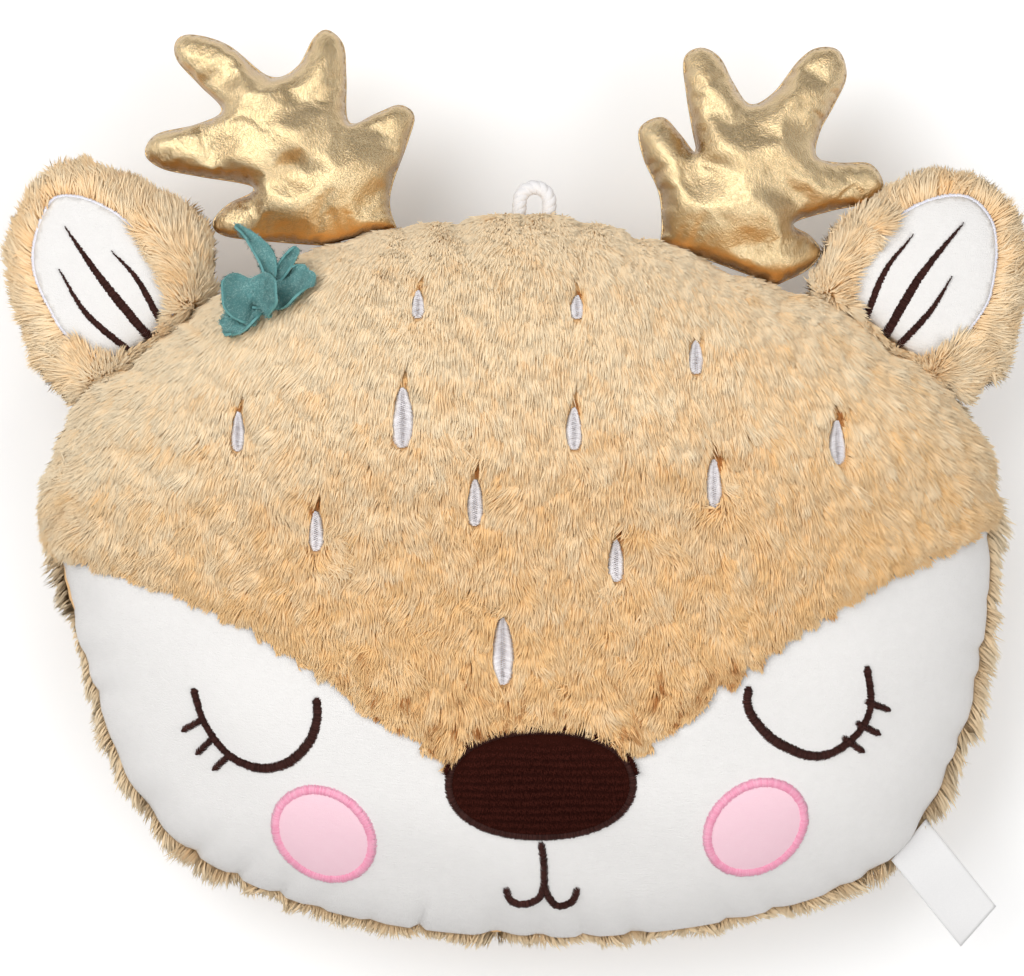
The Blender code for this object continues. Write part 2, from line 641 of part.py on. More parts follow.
class Bag:
    """A flat bag of two cloths sewn together round an outline and swollen by its filling."""

    def __init__(self, shares, half_width, length, swell, facet):
        scale = np.array((half_width, length))
        line = curve_through(shares, closed=False) * scale + (0.0, SEWN_EDGE_REACH)
        line[:, 1] = np.maximum(line[:, 1], SEWN_EDGE_REACH)
        side = even_points(line, round(run_length(line) / facet) + 1)
        base = np.array((side[-1], side[0]))
        base = even_points(base, max(2, round(run_length(base) / facet)) + 1)
        self.outline = np.concatenate((side, base[1:-1]))[::-1]
        self.facet = facet
        self.grid_low = self.outline.min(axis=0)
        self.cell = float((self.outline.max(axis=0) - self.grid_low).max()) / MEMBRANE_CELLS
        self.membrane = self.swollen(swell)

    def swollen(self, swell):
        """Half thickness on a grid: the root of a membrane's rise under even pressure."""
        counts = np.ceil((self.outline.max(axis=0) - self.grid_low) / self.cell).astype(int) + 2
        index = np.indices(tuple(counts)).reshape(2, -1).T
        inside = contains(self.outline, self.grid_low + index * self.cell).reshape(counts)
        rise = np.zeros(counts)
        for _ in range(MEMBRANE_STEPS):
            beside = np.roll(rise, 1, 0) + np.roll(rise, -1, 0)
            above_below = np.roll(rise, 1, 1) + np.roll(rise, -1, 1)
            rise = np.where(inside, (beside + above_below + 1.0) / 4, 0.0)
        return swell * np.sqrt(rise / rise.max())

    def half_thickness(self, x, y):
        """Half thickness over one place, between the grid's values."""
        place = (np.array((x, y)) - self.grid_low) / self.cell
        place = np.clip(place, 0.0, np.array(self.membrane.shape) - 1.001)
        column, row = place.astype(int)
        across, up = place - (column, row)
        near, far = self.membrane[column:column + 2, row:row + 2] @ (1 - up, up)
        return float(near * (1 - across) + far * across)

    def front(self, x, y):
        """The front cloth's outer surface."""
        return Vector((x, y, SEAM_GAP / 2 + self.half_thickness(x, y)))

    def facets(self, outline):
        """Triangles over an outline, on points that every piece of this bag shares."""
        low, high = self.outline.min(axis=0), self.outline.max(axis=0)
        row_height = self.facet * math.sin(math.pi / 3)
        lattice = []
        for row in range(int((high[1] - low[1]) / row_height) + 1):
            shift = self.facet / 2 * (row % 2)
            for column in range(int((high[0] - low[0]) / self.facet) + 1):
                lattice.append((low[0] + shift + column * self.facet, low[1] + row * row_height))
        lattice = np.array(lattice)
        margin = RIM_MARGIN_SHARE * self.facet
        kept = contains(outline, lattice) & (distance_to(outline, lattice) > margin)
        places = [Vector(place) for place in np.concatenate((outline, lattice[kept]))]
        triangles = facets_on(places, len(outline))
        bare = rim_bridges(triangles, len(outline))
        while bare:
            places += [(places[start] + places[end]) / 2 for start, end in sorted(bare)]
            triangles = facets_on(places, len(outline))
            bare = rim_bridges(triangles, len(outline))
        return np.array(places), triangles

    def layer(self, depth):
        """Places and heights of the cloth drawn in by depth, with the outline's points at zero."""
        places, triangles = self.facets(self.outline)
        edge = len(self.outline)
        places[:edge] = drawn_in(self.outline, depth)
        heights = np.zeros(len(places))
        for index in range(edge, len(places)):
            thick = self.half_thickness(*places[index])
            heights[index] = thick * math.exp(-depth / thick)
        return places, heights, triangles

    def cloth(self, thickness, side):
        """The front cloth or, with side -1, the back one."""
        outer, outer_heights, triangles = self.layer(0.0)
        inner, inner_heights, _ = self.layer(thickness)
        lift = SEAM_GAP / 2
        top = [(*place, side * (lift + rise)) for place, rise in zip(outer, outer_heights)]
        bottom = [(*place, side * (lift + rise)) for place, rise in zip(inner, inner_heights)]
        return solid_between(top, bottom, triangles, len(self.outline))

    def filling(self, depth):
        """The wadding inside the two cloths."""
        places, heights, triangles = self.layer(depth)
        edge = len(self.outline)
        work = bmesh.new()
        front = [work.verts.new((*place, rise)) for place, rise in zip(places, heights)]
        back = [work.verts.new((*place, -rise)) for place, rise in zip(places[edge:], heights[edge:])]
        back = front[:edge] + back
        for triangle in triangles:
            work.faces.new([front[corner] for corner in triangle])
            work.faces.new([back[corner] for corner in reversed(triangle)])
        return mesh_from(work)

    def overlay(self, outline, gap, thickness):
        """A thin cloth laid on the front within an outline of its own."""
        places, triangles = self.facets(outline)
        bottom = [self.front(*place) + Vector((0.0, 0.0, gap)) for place in places]
        top = [self.front(*place) + Vector((0.0, 0.0, gap + thickness)) for place in places]
        return solid_between(top, bottom, triangles, len(outline))


def solid_between(top, bottom, triangles, edge):
    """A closed body between two like sheets whose first points are their rims."""
    work = bmesh.new()
    upper = [work.verts.new(point) for point in top]
    lower = [work.verts.new(point) for point in bottom]
    for triangle in triangles:
        work.faces.new([upper[corner] for corner in triangle])
        work.faces.new([lower[corner] for corner in reversed(triangle)])
    for index in range(edge):
        after = (index + 1) % edge
        work.faces.new((upper[index], upper[after], lower[after], lower[index]))
    return mesh_from(work)


def build_ear(side, degrees, shares, lining_shares, stripe_shares):
    """One padded ear: two furry cloths, its wadding, the white lining, piping and stripes."""
    half_span = EAR_HALF_WIDTH * (shares[-1][0] - shares[0][0]) / 2
    hinge = seat(f"{side}_ear_hinge", degrees, half_span)
    bag = Bag(shares, EAR_HALF_WIDTH, EAR_LENGTH, EAR_SWELL, EAR_FACET)
    add_part(f"{side}_ear_front", bag.cloth(PANEL_THICKNESS, 1.0), "tan_fur", hinge)
    add_part(f"{side}_ear_back", bag.cloth(PANEL_THICKNESS, -1.0), "tan_fur", hinge)
    filling = bag.filling(PANEL_THICKNESS + LAYER_GAP)
    add_part(f"{side}_ear_padding", filling, "stuffing", hinge)

    scale = np.array((EAR_HALF_WIDTH, EAR_LENGTH))
    line = curve_through(lining_shares, closed=True) * scale
    piping_path = even_points(line, EAR_PIPING_SIDES + 1)[:-1]
    piping = ribbon(piping_path, bag.front, EAR_PIPING_WIDTH, EAR_LINING_GAP, STITCH_HEIGHT, closed=True)
    add_part(f"{side}_ear_piping", piping, "silver_lilac_satin", hinge)
    lining_edge = drawn_in(piping_path, EAR_PIPING_WIDTH / 2 + SEAM_GAP)
    lining = bag.overlay(lining_edge, EAR_LINING_GAP, EAR_LINING_THICKNESS)
    add_part(f"{side}_ear_lining", lining, "white_velour", hinge)

    def lining_top(x, y):
        return bag.front(x, y) + Vector((0.0, 0.0, EAR_LINING_GAP + EAR_LINING_THICKNESS))

    for name, (across, low, high) in zip(("left", "middle", "right"), stripe_shares):
        centre = (across * EAR_HALF_WIDTH, (low + high) / 2 * EAR_LENGTH)
        outline = teardrop(centre, EAR_STRIPE_WIDTH, (high - low) * EAR_LENGTH, EAR_STRIPE_SIDES)
        rings = (EAR_STRIPE_FOOT_SHARES, EAR_STRIPE_TOP_SHARES)
        stripe = patch(outline, lining_top, *rings, LAYER_GAP, STITCH_HEIGHT)
        add_part(f"{side}_ear_{name}_stripe", stripe, "dark_brown_stitching", hinge)


def build_antler(side, degrees, shares):
    """One padded antler: two golden cloths and the wadding between them."""
    half_span = ANTLER_HALF_WIDTH * (shares[-1][0] - shares[0][0]) / 2
    hinge = seat(f"{side}_antler_hinge", degrees, half_span)
    bag = Bag(shares, ANTLER_HALF_WIDTH, ANTLER_LENGTH, ANTLER_SWELL, ANTLER_FACET)
    add_part(f"{side}_antler_front", bag.cloth(LAME_THICKNESS, 1.0), "gold_lame", hinge)
    add_part(f"{side}_antler_back", bag.cloth(LAME_THICKNESS, -1.0), "gold_lame", hinge)
    filling = bag.filling(LAME_THICKNESS + LAYER_GAP)
    add_part(f"{side}_antler_filling", filling, "stuffing", hinge)


def heading(normal, bearing, rise):
    """Unit directions for a bearing in the picture: one raised from the cloth, one across it."""
    bearing, rise = math.radians(bearing), math.radians(rise)
    flat = Vector((math.cos(bearing), math.sin(bearing), 0.0))
    flat.z = -flat.dot(normal) / normal.z
    flat.normalize()
    return flat * math.cos(rise) + normal * math.sin(rise), normal.cross(flat)


def petal(root, normal, bearing, rise, length, width, twist):
    """One fleece petal that grows out from the flower's middle."""
    ahead, level = heading(normal, bearing, rise)
    twist = math.radians(twist)
    side = level * math.cos(twist) + ahead.cross(level) * math.sin(twist)
    up = ahead.cross(side)
    rings = []
    for step in range(PETAL_STEPS + 1):
        share = step / PETAL_STEPS
        middle = root + ahead * (length * share)
        wave = math.pi * (PETAL_ROOT_SHARE * (1 - share) + PETAL_TIP_SHARE * share)
        half = width / 2 * math.sin(wave) ** PETAL_BLUNTNESS
        ring = []
        for turn in range(PETAL_SIDES):
            angle = 2 * math.pi * turn / PETAL_SIDES
            across = side * (half * math.cos(angle))
            ring.append(middle + across + up * (PETAL_THICKNESS / 2 * math.sin(angle)))
        rings.append(ring)
    return loft(rings)


def ball(centre, radius, axis):
    """A small faceted ball with a pole along an axis."""
    work = bmesh.new()
    bmesh.ops.create_icosphere(work, subdivisions=2, radius=radius)
    turn = axis.to_track_quat("Z", "Y").to_matrix().to_4x4()
    bmesh.ops.transform(work, matrix=Matrix.Translation(centre) @ turn, verts=work.verts)
    return mesh_from(work)


def build_flower():
    """The fleece flower on the brow, and the knot that holds it."""
    place = head_place(FLOWER_PLACE_SHARE)
    normal = surface_normal(face_point, *place)
    root = lifted(face_point, *place, FLOWER_HUB_RADIUS + LAYER_GAP)
    pieces = [ball(root, FLOWER_HUB_RADIUS, normal)]
    for bearing, rise, length, width, twist in PETAL_SHARES:
        length, width = length * PETAL_LENGTH, width * PETAL_LENGTH
        pieces.append(petal(root, normal, bearing, rise, length, width, twist))
    add_part("flower", joined(pieces), "teal_fleece")
    reach = FLOWER_HUB_RADIUS + FLOWER_KNOT_RADIUS + SEAM_GAP
    knot = root + heading(normal, FLOWER_KNOT_BEARING, FLOWER_KNOT_RISE)[0] * reach
    add_part("flower_knot", ball(knot, FLOWER_KNOT_RADIUS, normal), "teal_fleece")


def build_loop():
    """The hanging loop, a bent cord whose two ends are pinched into the seam."""
    hinge = seat("hanging_loop_hinge", LOOP_ANGLE, LOOP_HALF_SPAN)
    arch_foot = SEWN_EDGE_REACH + LOOP_STRAIGHT
    pinched = SEWN_EDGE_REACH + LOOP_PINCH_LENGTH
    route = [(-LOOP_HALF_SPAN, SEWN_EDGE_REACH), (-LOOP_HALF_SPAN, pinched)]
    for step in range(LOOP_ARCH_POINTS):
        angle = math.pi * (1.0 - step / (LOOP_ARCH_POINTS - 1))
        route.append((LOOP_HALF_SPAN * math.cos(angle), arch_foot + LOOP_HALF_SPAN * math.sin(angle)))
    route += [(LOOP_HALF_SPAN, pinched), (LOOP_HALF_SPAN, SEWN_EDGE_REACH)]
    cord = bpy.data.curves.new("hanging_loop", "CURVE")
    cord.dimensions = "3D"
    cord.bevel_depth = LOOP_CORD_DIAMETER / 2
    cord.bevel_resolution = LOOP_CORD_BEVEL_STEPS
    cord.use_fill_caps = True
    spline = cord.splines.new("POLY")
    spline.points.add(len(route) - 1)
    for index, (point, (x, y)) in enumerate(zip(spline.points, route)):
        point.co = (x, y, 0.0, 1.0)
        point.radius = LOOP_PINCH_SHARE if index in (0, len(route) - 1) else 1.0
    cord.materials.append(material("white_cord"))
    part = bpy.data.objects.new("hanging_loop", cord)
    bpy.context.collection.objects.link(part)
    part.parent = hinge


def build_label():
    """The bare ribbon label, sewn by one end into the seam."""
    hinge = seat("label_hinge", LABEL_ANGLE, LABEL_WIDTH / 2)
    lean = math.tan(math.radians(LABEL_LEAN))
    corners = ((-1.0, -1.0), (1.0, -1.0), (1.0, 1.0), (-1.0, 1.0))
    rings = []
    for step in range(LABEL_STEPS + 1):
        share = step / LABEL_STEPS
        out = SEWN_EDGE_REACH + LABEL_LENGTH * share
        shift = lean * LABEL_LENGTH * share
        drop = LABEL_DROOP * share ** 2
        rings.append([(shift + LABEL_WIDTH / 2 * across, out, LABEL_THICKNESS / 2 * up - drop)
                      for across, up in corners])
    add_part("label", loft(rings), "white_satin_ribbon", hinge)


def main():
    clear_scene()
    build_head()
    build_nose()
    build_mouth()
    build_cheek("left", LEFT_CHEEK_PLACE_SHARE, -CHEEK_TILT)
    build_cheek("right", RIGHT_CHEEK_PLACE_SHARE, CHEEK_TILT)
    build_eye("left", LEFT_EYE_SHARES, LEFT_LASH_SHARES)
    build_eye("right", RIGHT_EYE_SHARES, RIGHT_LASH_SHARES)
    build_spots()
    build_ear("left", LEFT_EAR_ANGLE, LEFT_EAR_SHARES, LEFT_LINING_SHARES, LEFT_STRIPE_SHARES)
    build_ear("right", RIGHT_EAR_ANGLE, RIGHT_EAR_SHARES, RIGHT_LINING_SHARES, RIGHT_STRIPE_SHARES)
    build_antler("left", LEFT_ANTLER_ANGLE, LEFT_ANTLER_SHARES)
    build_antler("right", RIGHT_ANTLER_ANGLE, RIGHT_ANTLER_SHARES)
    build_flower()
    build_loop()
    build_label()


main()
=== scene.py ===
"""The looks of a stuffed deer-head cushion: fur, velour, satin stitching, lame antlers and felt."""

import json
import math

import bmesh
import bpy
import numpy as np
from mathutils import Matrix, Vector
from mathutils.bvhtree import BVHTree
from mathutils.geometry import delaunay_2d_cdt
from mathutils.kdtree import KDTree


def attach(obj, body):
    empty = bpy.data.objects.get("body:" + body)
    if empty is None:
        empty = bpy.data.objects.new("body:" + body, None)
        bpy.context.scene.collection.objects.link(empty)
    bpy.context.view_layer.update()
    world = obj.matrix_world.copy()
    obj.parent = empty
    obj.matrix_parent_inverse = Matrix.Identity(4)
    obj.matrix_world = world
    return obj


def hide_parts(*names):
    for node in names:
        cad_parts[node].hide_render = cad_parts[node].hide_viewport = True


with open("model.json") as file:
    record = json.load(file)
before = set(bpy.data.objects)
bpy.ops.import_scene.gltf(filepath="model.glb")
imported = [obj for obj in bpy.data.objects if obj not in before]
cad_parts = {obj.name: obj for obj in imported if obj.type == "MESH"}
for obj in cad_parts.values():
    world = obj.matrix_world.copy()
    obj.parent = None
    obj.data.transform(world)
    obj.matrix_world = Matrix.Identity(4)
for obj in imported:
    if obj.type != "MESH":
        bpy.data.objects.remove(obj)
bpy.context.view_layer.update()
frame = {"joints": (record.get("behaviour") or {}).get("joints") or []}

# Head cushion, as the frame has it: half sizes, and crowns measured from the seam round the head
HEAD_HALF_WIDTH = 0.173
HEAD_HALF_HEIGHT = 0.134
FACE_CROWN = 0.065
BACK_CROWN = 0.057
CROWN_ROUNDNESS = 2.3
SEAM_PINCH = 0.62
SEAM_HEIGHT = frame["joints"][0]["pos_m"][2]
HEAD_OUTLINE_SHARES = (
    (1.00, 0.18), (0.96, 0.42), (0.85, 0.58), (0.66, 0.75), (0.45, 0.84), (0.28, 0.93), (0.04, 1.00),
    (-0.22, 0.97), (-0.44, 0.90), (-0.63, 0.78), (-0.81, 0.62), (-0.93, 0.48), (-0.99, 0.30),
    (-1.00, 0.13), (-0.96, -0.11), (-0.90, -0.35), (-0.83, -0.58), (-0.69, -0.77), (-0.44, -0.91),
    (-0.15, -0.98), (0.17, -0.99), (0.47, -0.94), (0.73, -0.83), (0.87, -0.66), (0.96, -0.38),
    (1.00, -0.08))
BROW_SEAM_SHARES = (
    (-1.20, 0.12), (-0.98, 0.05), (-0.82, 0.00), (-0.66, -0.07), (-0.53, -0.16), (-0.39, -0.28),
    (-0.27, -0.38), (-0.15, -0.50), (0.04, -0.62), (0.24, -0.47), (0.35, -0.36), (0.45, -0.26),
    (0.62, -0.11), (0.79, 0.01), (0.97, 0.11), (1.20, 0.20))
HEAD_SEGMENTS = 288
HEAD_RINGS = 80
FLOOR_CLEARANCE = 0.0003
CLOTH_WALL = 0.0012
CURVE_STEPS = 12
BROW_SEAM_LIFT = 0.002

# Gathers that the seam pulls into the cloth, the dimples round the sewn spots, and a soft unevenness
GATHER_DEPTH = 0.0022
GATHER_START = 0.002
GATHER_REACH = 0.011
GATHER_SPACING = 0.17
GATHER_WIDTH = 0.8
GATHER_SINK_SHARE = 0.6
DIMPLE_DEPTH = 0.0016
DIMPLE_REACH = 0.009
UNEVENNESS = 0.0008
UNEVENNESS_SIZE = 0.05

# Embroidery on the face, with places as shares of the head's half sizes
THREAD_WIDTH = 0.00050
THREAD_PITCH = 0.00036
THREAD_RAGGEDNESS = 0.00036
THREAD_END_SHARE = 0.55
STITCH_RISE = 0.0011
PATCH_WALL = 0.0008
PATCH_LIFT = 0.0004
BORDER_WIDTH = 0.003
BORDER_GAP = 0.0002
NOSE_HALF_WIDTH = 0.031
NOSE_HALF_HEIGHT = 0.0175
NOSE_SQUARENESS = 2.2
NOSE_DOME = 0.0028
NOSE_PLACE_SHARE = (0.042, -0.54)
NOSE_NAP_WIDTH = 0.00042
NOSE_NAP_THICKNESS = 0.0002
NOSE_NAP_LENGTH = 0.0011
NOSE_FRINGE_LENGTHS = (0.0016, 0.0034)
NOSE_ROW_PITCH = 0.00045
CHEEK_LONG_RADIUS = 0.0165
CHEEK_SHORT_RADIUS = 0.0135
CHEEK_DOME = 0.0012
CHEEK_TILT = 40.0
CHEEK_BORDER_WIDTH = 0.0036
LEFT_CHEEK_PLACE_SHARE = (-0.41, -0.685)
RIGHT_CHEEK_PLACE_SHARE = (0.49, -0.665)
EYE_STROKE = 0.0029
EYE_STROKE_SHARES = (0.92, 0.80, 0.86, 1.08, 1.20, 1.12, 0.98)
LASH_STROKE = 0.0023
LASH_ROOT = 0.30
MOUTH_STROKE = 0.0025
MOUTH_GAP = 0.0013
LEFT_EYE_SHARES = (
    (-0.68, -0.29), (-0.665, -0.36), (-0.64, -0.42), (-0.60, -0.475), (-0.54, -0.503), (-0.48, -0.485),
    (-0.437, -0.43), (-0.42, -0.37), (-0.42, -0.31))
LEFT_LASH_SHARES = (
    ((-0.67, -0.38), (-0.705, -0.405)),
    ((-0.645, -0.43), (-0.675, -0.468)),
    ((-0.61, -0.475), (-0.64, -0.51)))
RIGHT_EYE_SHARES = (
    (0.47, -0.28), (0.47, -0.34), (0.51, -0.41), (0.56, -0.45), (0.61, -0.47), (0.66, -0.455),
    (0.71, -0.40), (0.73, -0.33), (0.72, -0.23))
RIGHT_LASH_SHARES = (
    ((0.73, -0.33), (0.77, -0.35)),
    ((0.71, -0.39), (0.75, -0.415)),
    ((0.68, -0.43), (0.715, -0.462)))
MOUTH_STEM_SHARES = ((0.049, -0.76), (0.05, -0.83))
MOUTH_LEFT_SHARES = ((0.05, -0.82), (0.04, -0.86), (0.01, -0.88), (-0.02, -0.87), (-0.03, -0.83))
MOUTH_RIGHT_SHARES = ((0.05, -0.82), (0.06, -0.86), (0.08, -0.885), (0.11, -0.87), (0.12, -0.83))
SPOT_WIDTH = 0.0086
SPOT_LENGTH = 0.024
SPOT_RIDGE_WEAVE = 0.00035
SLIT_OFFSET = (0.0006, 0.0018)
SLIT_HALF_WIDTH = 0.0010
SLIT_HALF_LENGTH = 0.0034
SLIT_TILT = -6.0
# How far round each parting the fur is shortened and darkened with a painted shadow
SLIT_REACH = (0.0022, 0.0050)
SPOT_SHARES = (
    (-0.213, 0.740, 0.63, 0.43), (0.118, 0.732, 0.63, 0.36), (0.365, 0.597, 0.71, 0.51),
    (-0.242, 0.434, 1.00, 0.90), (0.110, 0.405, 0.76, 0.63), (0.398, 0.259, 0.71, 0.72),
    (-0.093, 0.209, 0.76, 0.69), (-0.420, 0.134, 0.71, 0.60), (0.196, 0.056, 0.71, 0.63),
    (-0.036, -0.182, 1.00, 1.00), (-0.585, 0.398, 0.63, 0.60), (0.658, 0.369, 0.76, 0.66))

# Limbs: outlines across and out from the sewn edge, as shares of the half width and the length
EAR_HALF_WIDTH = 0.0405
EAR_LENGTH = 0.068
EAR_SWELL = 0.011
EAR_FACET = 0.0022
EAR_PIPING_WIDTH = 0.0019
EAR_STRIPE_WIDTH = 0.0045
EAR_STRIPE_RISE = STITCH_RISE * 1.9
EAR_STRIPE_SHARES = (0.95, 1.0, 1.0, 0.86, 0.66, 0.42, 0.10)
LINING_FACET = 0.0018
LINING_STEP = 0.0016
LINING_LIFT = 0.0012
LEFT_EAR_SHARES = (
    (-0.80, 0.00), (-0.81, 0.11), (-0.74, 0.30), (-0.62, 0.52), (-0.46, 0.73), (-0.20, 0.90),
    (0.05, 0.97), (0.30, 1.00), (0.46, 0.98), (0.60, 0.90), (0.83, 0.66), (1.00, 0.38),
    (0.94, 0.18), (0.78, 0.00))
LEFT_LINING_SHARES = (
    (0.22, 0.93), (0.04, 0.90), (-0.14, 0.83), (-0.29, 0.74), (-0.38, 0.63), (-0.44, 0.48),
    (-0.47, 0.33), (-0.42, 0.18), (-0.30, 0.06), (0.02, 0.02), (0.34, 0.04), (0.48, 0.13),
    (0.57, 0.27), (0.60, 0.40), (0.60, 0.53), (0.55, 0.67), (0.46, 0.79), (0.35, 0.88))
LEFT_STRIPE_SHARES = (
    ((-0.12, 0.03), (-0.21, 0.33), (-0.15, 0.61)),
    ((0.09, 0.03), (0.09, 0.42), (0.13, 0.77)),
    ((0.25, 0.03), (0.34, 0.30), (0.32, 0.51)))
RIGHT_EAR_SHARES = (
    (-0.89, 0.00), (-0.90, 0.14), (-0.88, 0.37), (-0.81, 0.52), (-0.71, 0.68), (-0.56, 0.81),
    (-0.34, 0.90), (-0.09, 0.94), (0.13, 0.91), (0.35, 0.81), (0.61, 0.61), (0.77, 0.41),
    (0.86, 0.22), (0.86, 0.00))
RIGHT_LINING_SHARES = (
    (-0.13, 0.89), (-0.27, 0.87), (-0.41, 0.80), (-0.53, 0.70), (-0.62, 0.57), (-0.66, 0.42),
    (-0.66, 0.27), (-0.61, 0.13), (-0.48, 0.04), (-0.10, 0.02), (0.30, 0.03), (0.43, 0.12),
    (0.48, 0.25), (0.49, 0.38), (0.47, 0.50), (0.40, 0.60), (0.31, 0.70), (0.20, 0.79),
    (0.06, 0.86))
RIGHT_STRIPE_SHARES = (
    ((-0.31, 0.02), (-0.43, 0.29), (-0.42, 0.54)),
    ((-0.08, 0.02), (-0.15, 0.38), (-0.12, 0.75)),
    ((0.07, 0.02), (0.11, 0.27), (0.08, 0.48)))
STRIPE_FULLNESS_SHARES = (0.76, 1.05, 0.76)
ANTLER_HALF_WIDTH = 0.05
ANTLER_LENGTH = 0.088
ANTLER_SWELL = 0.0160
ANTLER_FACET = 0.0016
ANTLER_CREASE = 0.00035
ANTLER_ROLL = 0.09
ANTLER_SEAM_INSET = 0.0012
ANTLER_SEAM_RADIUS = 0.0005
BAG_TIGHTNESS = 0.9
CLOTH_PRESSURE = 8.0
CLOTH_SPARE = 0.02
CLOTH_CAP = 0.0018
CLOTH_STEPS = 24
LEFT_ANTLER_SHARES = (
    (-0.28, 0.00), (-0.60, 0.06), (-0.97, 0.14), (-1.04, 0.21), (-0.90, 0.27), (-0.68, 0.31),
    (-1.05, 0.41), (-1.30, 0.48), (-1.40, 0.56), (-1.28, 0.63), (-0.98, 0.63), (-0.77, 0.66),
    (-0.88, 0.78), (-1.00, 0.91), (-0.97, 0.99), (-0.84, 1.00), (-0.60, 0.92), (-0.36, 0.75),
    (-0.15, 0.76), (0.02, 0.86), (0.14, 0.88), (0.23, 0.80), (0.19, 0.66), (0.13, 0.48),
    (0.34, 0.49), (0.52, 0.50), (0.61, 0.44), (0.52, 0.34), (0.33, 0.18), (0.27, 0.09),
    (0.28, 0.00))
RIGHT_ANTLER_SHARES = (
    (-0.46, 0.00), (-0.51, 0.09), (-0.61, 0.20), (-0.80, 0.31), (-0.90, 0.42), (-0.77, 0.50),
    (-0.60, 0.46), (-0.45, 0.41), (-0.54, 0.50), (-0.66, 0.62), (-0.77, 0.76), (-0.68, 0.83),
    (-0.52, 0.82), (-0.36, 0.74), (-0.19, 0.68), (-0.06, 0.76), (0.03, 0.92), (0.13, 1.00),
    (0.29, 1.02), (0.41, 0.93), (0.40, 0.80), (0.37, 0.67), (0.41, 0.57), (0.58, 0.58),
    (0.80, 0.62), (0.95, 0.55), (0.88, 0.46), (0.64, 0.37), (0.42, 0.27), (0.56, 0.25),
    (0.68, 0.20), (0.64, 0.11), (0.46, 0.00))
SEWN_EDGE_REACH = 0.0003

# Flower: each petal's root, middle and tip across, up and off the cloth, its width, cup, twist,
# notch, ruffle and taper, the lengths as shares of the flower's size and the twist in degrees
FLOWER_PLACE_SHARE = (-0.548, 0.722)
FLOWER_LIFT = 0.0045
FLOWER_SIZE = 0.030
PETAL_THICKNESS = 0.0009
PETAL_ROUNDING = 0.0004
FELT_PILE_LENGTH = 0.0013
FELT_PILE_WIDTH = 0.00026
FELT_PILE_THICKNESS = 0.00014
KNOT_REACH = 0.0022
PETAL_SHARES = (
    ((0.12, -0.02, 0.00), (-0.06, -0.12, 0.16), (-0.42, -0.30, 0.06), 0.30, 0.25, 14.0, 0.05, 0.10,
     0.0),
    ((0.02, 0.00, 0.00), (0.34, 0.04, 0.14), (0.68, 0.46, 0.12), 0.36, 0.25, -14.0, 0.05, 0.10, 0.1),
    ((-0.02, 0.00, 0.02), (-0.06, 0.06, 0.30), (-0.05, 0.50, 0.46), 0.66, 0.75, 0.0, 0.26, 0.01, 0.0),
    ((0.10, 0.10, 0.04), (0.34, 0.52, 0.30), (-0.26, 0.98, 0.48), 0.27, 0.30, 26.0, 0.00, 0.03, 0.6),
    ((0.10, 0.08, 0.00), (0.26, 0.42, 0.08), (0.50, 0.71, 0.20), 0.15, 0.95, 15.0, 0.00, 0.02, 0.0))

# Hanging loop and label
LOOP_CORD_DIAMETER = 0.005
LOOP_HALF_SPAN = 0.0055
LOOP_STRAIGHT = 0.0045
LOOP_SEWN_IN = 0.002
LOOP_YARNS = 3
LOOP_YARN_OFFSET_SHARE = 0.19
LOOP_YARN_RADIUS_SHARE = 0.36
LOOP_TWIST_LENGTH = 0.0085
LABEL_WIDTH = 0.02
LABEL_LENGTH = 0.042
LABEL_THICKNESS = 0.0004
LABEL_SEWN_IN = 0.001
LABEL_LEAN = 10.0
LABEL_DROOP = 0.009
LABEL_CURL = 0.0011
LABEL_CUP = 0.0007
LABEL_WAVE = 0.0006

# Pile: how many roots each part has, and its strands of one length, leaning over from their roots
BROW_ROOTS = 235000
BACK_ROOTS = 170000
EAR_ROOTS = 40000
FELT_ROOTS = 15000
NOSE_ROOTS = 15000
NOSE_FRINGE_ROOTS = 1500
STRAND_LENGTH = 0.0092
STRAND_WIDTH = 0.00060
STRAND_ROUNDNESS = 0.6
STRAND_LEAN = 0.46
STRAND_BEND = 0.40
STRAND_ROOT_DEPTH = 0.0004
RUFFLE_SIZE = 0.009
DRIFT_SIZE = 0.030
PILE_SOAK = 1.6
TUFT_SPACING = 0.0034
PIECE_TRIANGLES = 198000
STRAND_MAP = "OFBake"
TONE_COLUMNS = 48

# Camera: it looks straight down, and takes in so much at the height of the seam
CAMERA_HEIGHT = 1.5
CAMERA_PLACE = (-0.003, 0.0333)
IMAGE_WIDTH_AT_SEAM = 0.379
SENSOR_WIDTH = 36.0

# Studio: each lamp's name, place, size and power, and the sky's strengths
LAMPS = (("key", (-0.85, 0.55, 1.60), 1.4, 16.0), ("fill", (0.90, -0.50, 1.50), 1.2, 7.0))
SKY_LOW = 0.14
SKY_RING = 0.92
SKY_DIP = 0.85
FLOOR_HALF_WIDTH = 4.0
FLOOR_GLOW = 0.14
LAMP_TARGET = (0.0, 0.0, 0.05)
CAMERA_RAY, GLOSSY_RAY, TRANSMISSION_RAY = 0, 3, 6


def linked(name, data):
    """An object made of its data, in the scene."""
    item = bpy.data.objects.new(name, data)
    bpy.context.collection.objects.link(item)
    return item


def make_camera():
    """The camera looks straight down at the face."""
    data = bpy.data.cameras.new("camera")
    data.sensor_width = SENSOR_WIDTH
    data.lens = SENSOR_WIDTH * CAMERA_HEIGHT / IMAGE_WIDTH_AT_SEAM
    camera = linked("camera", data)
    camera.location = (*CAMERA_PLACE, SEAM_HEIGHT + CAMERA_HEIGHT)
    bpy.context.scene.camera = camera


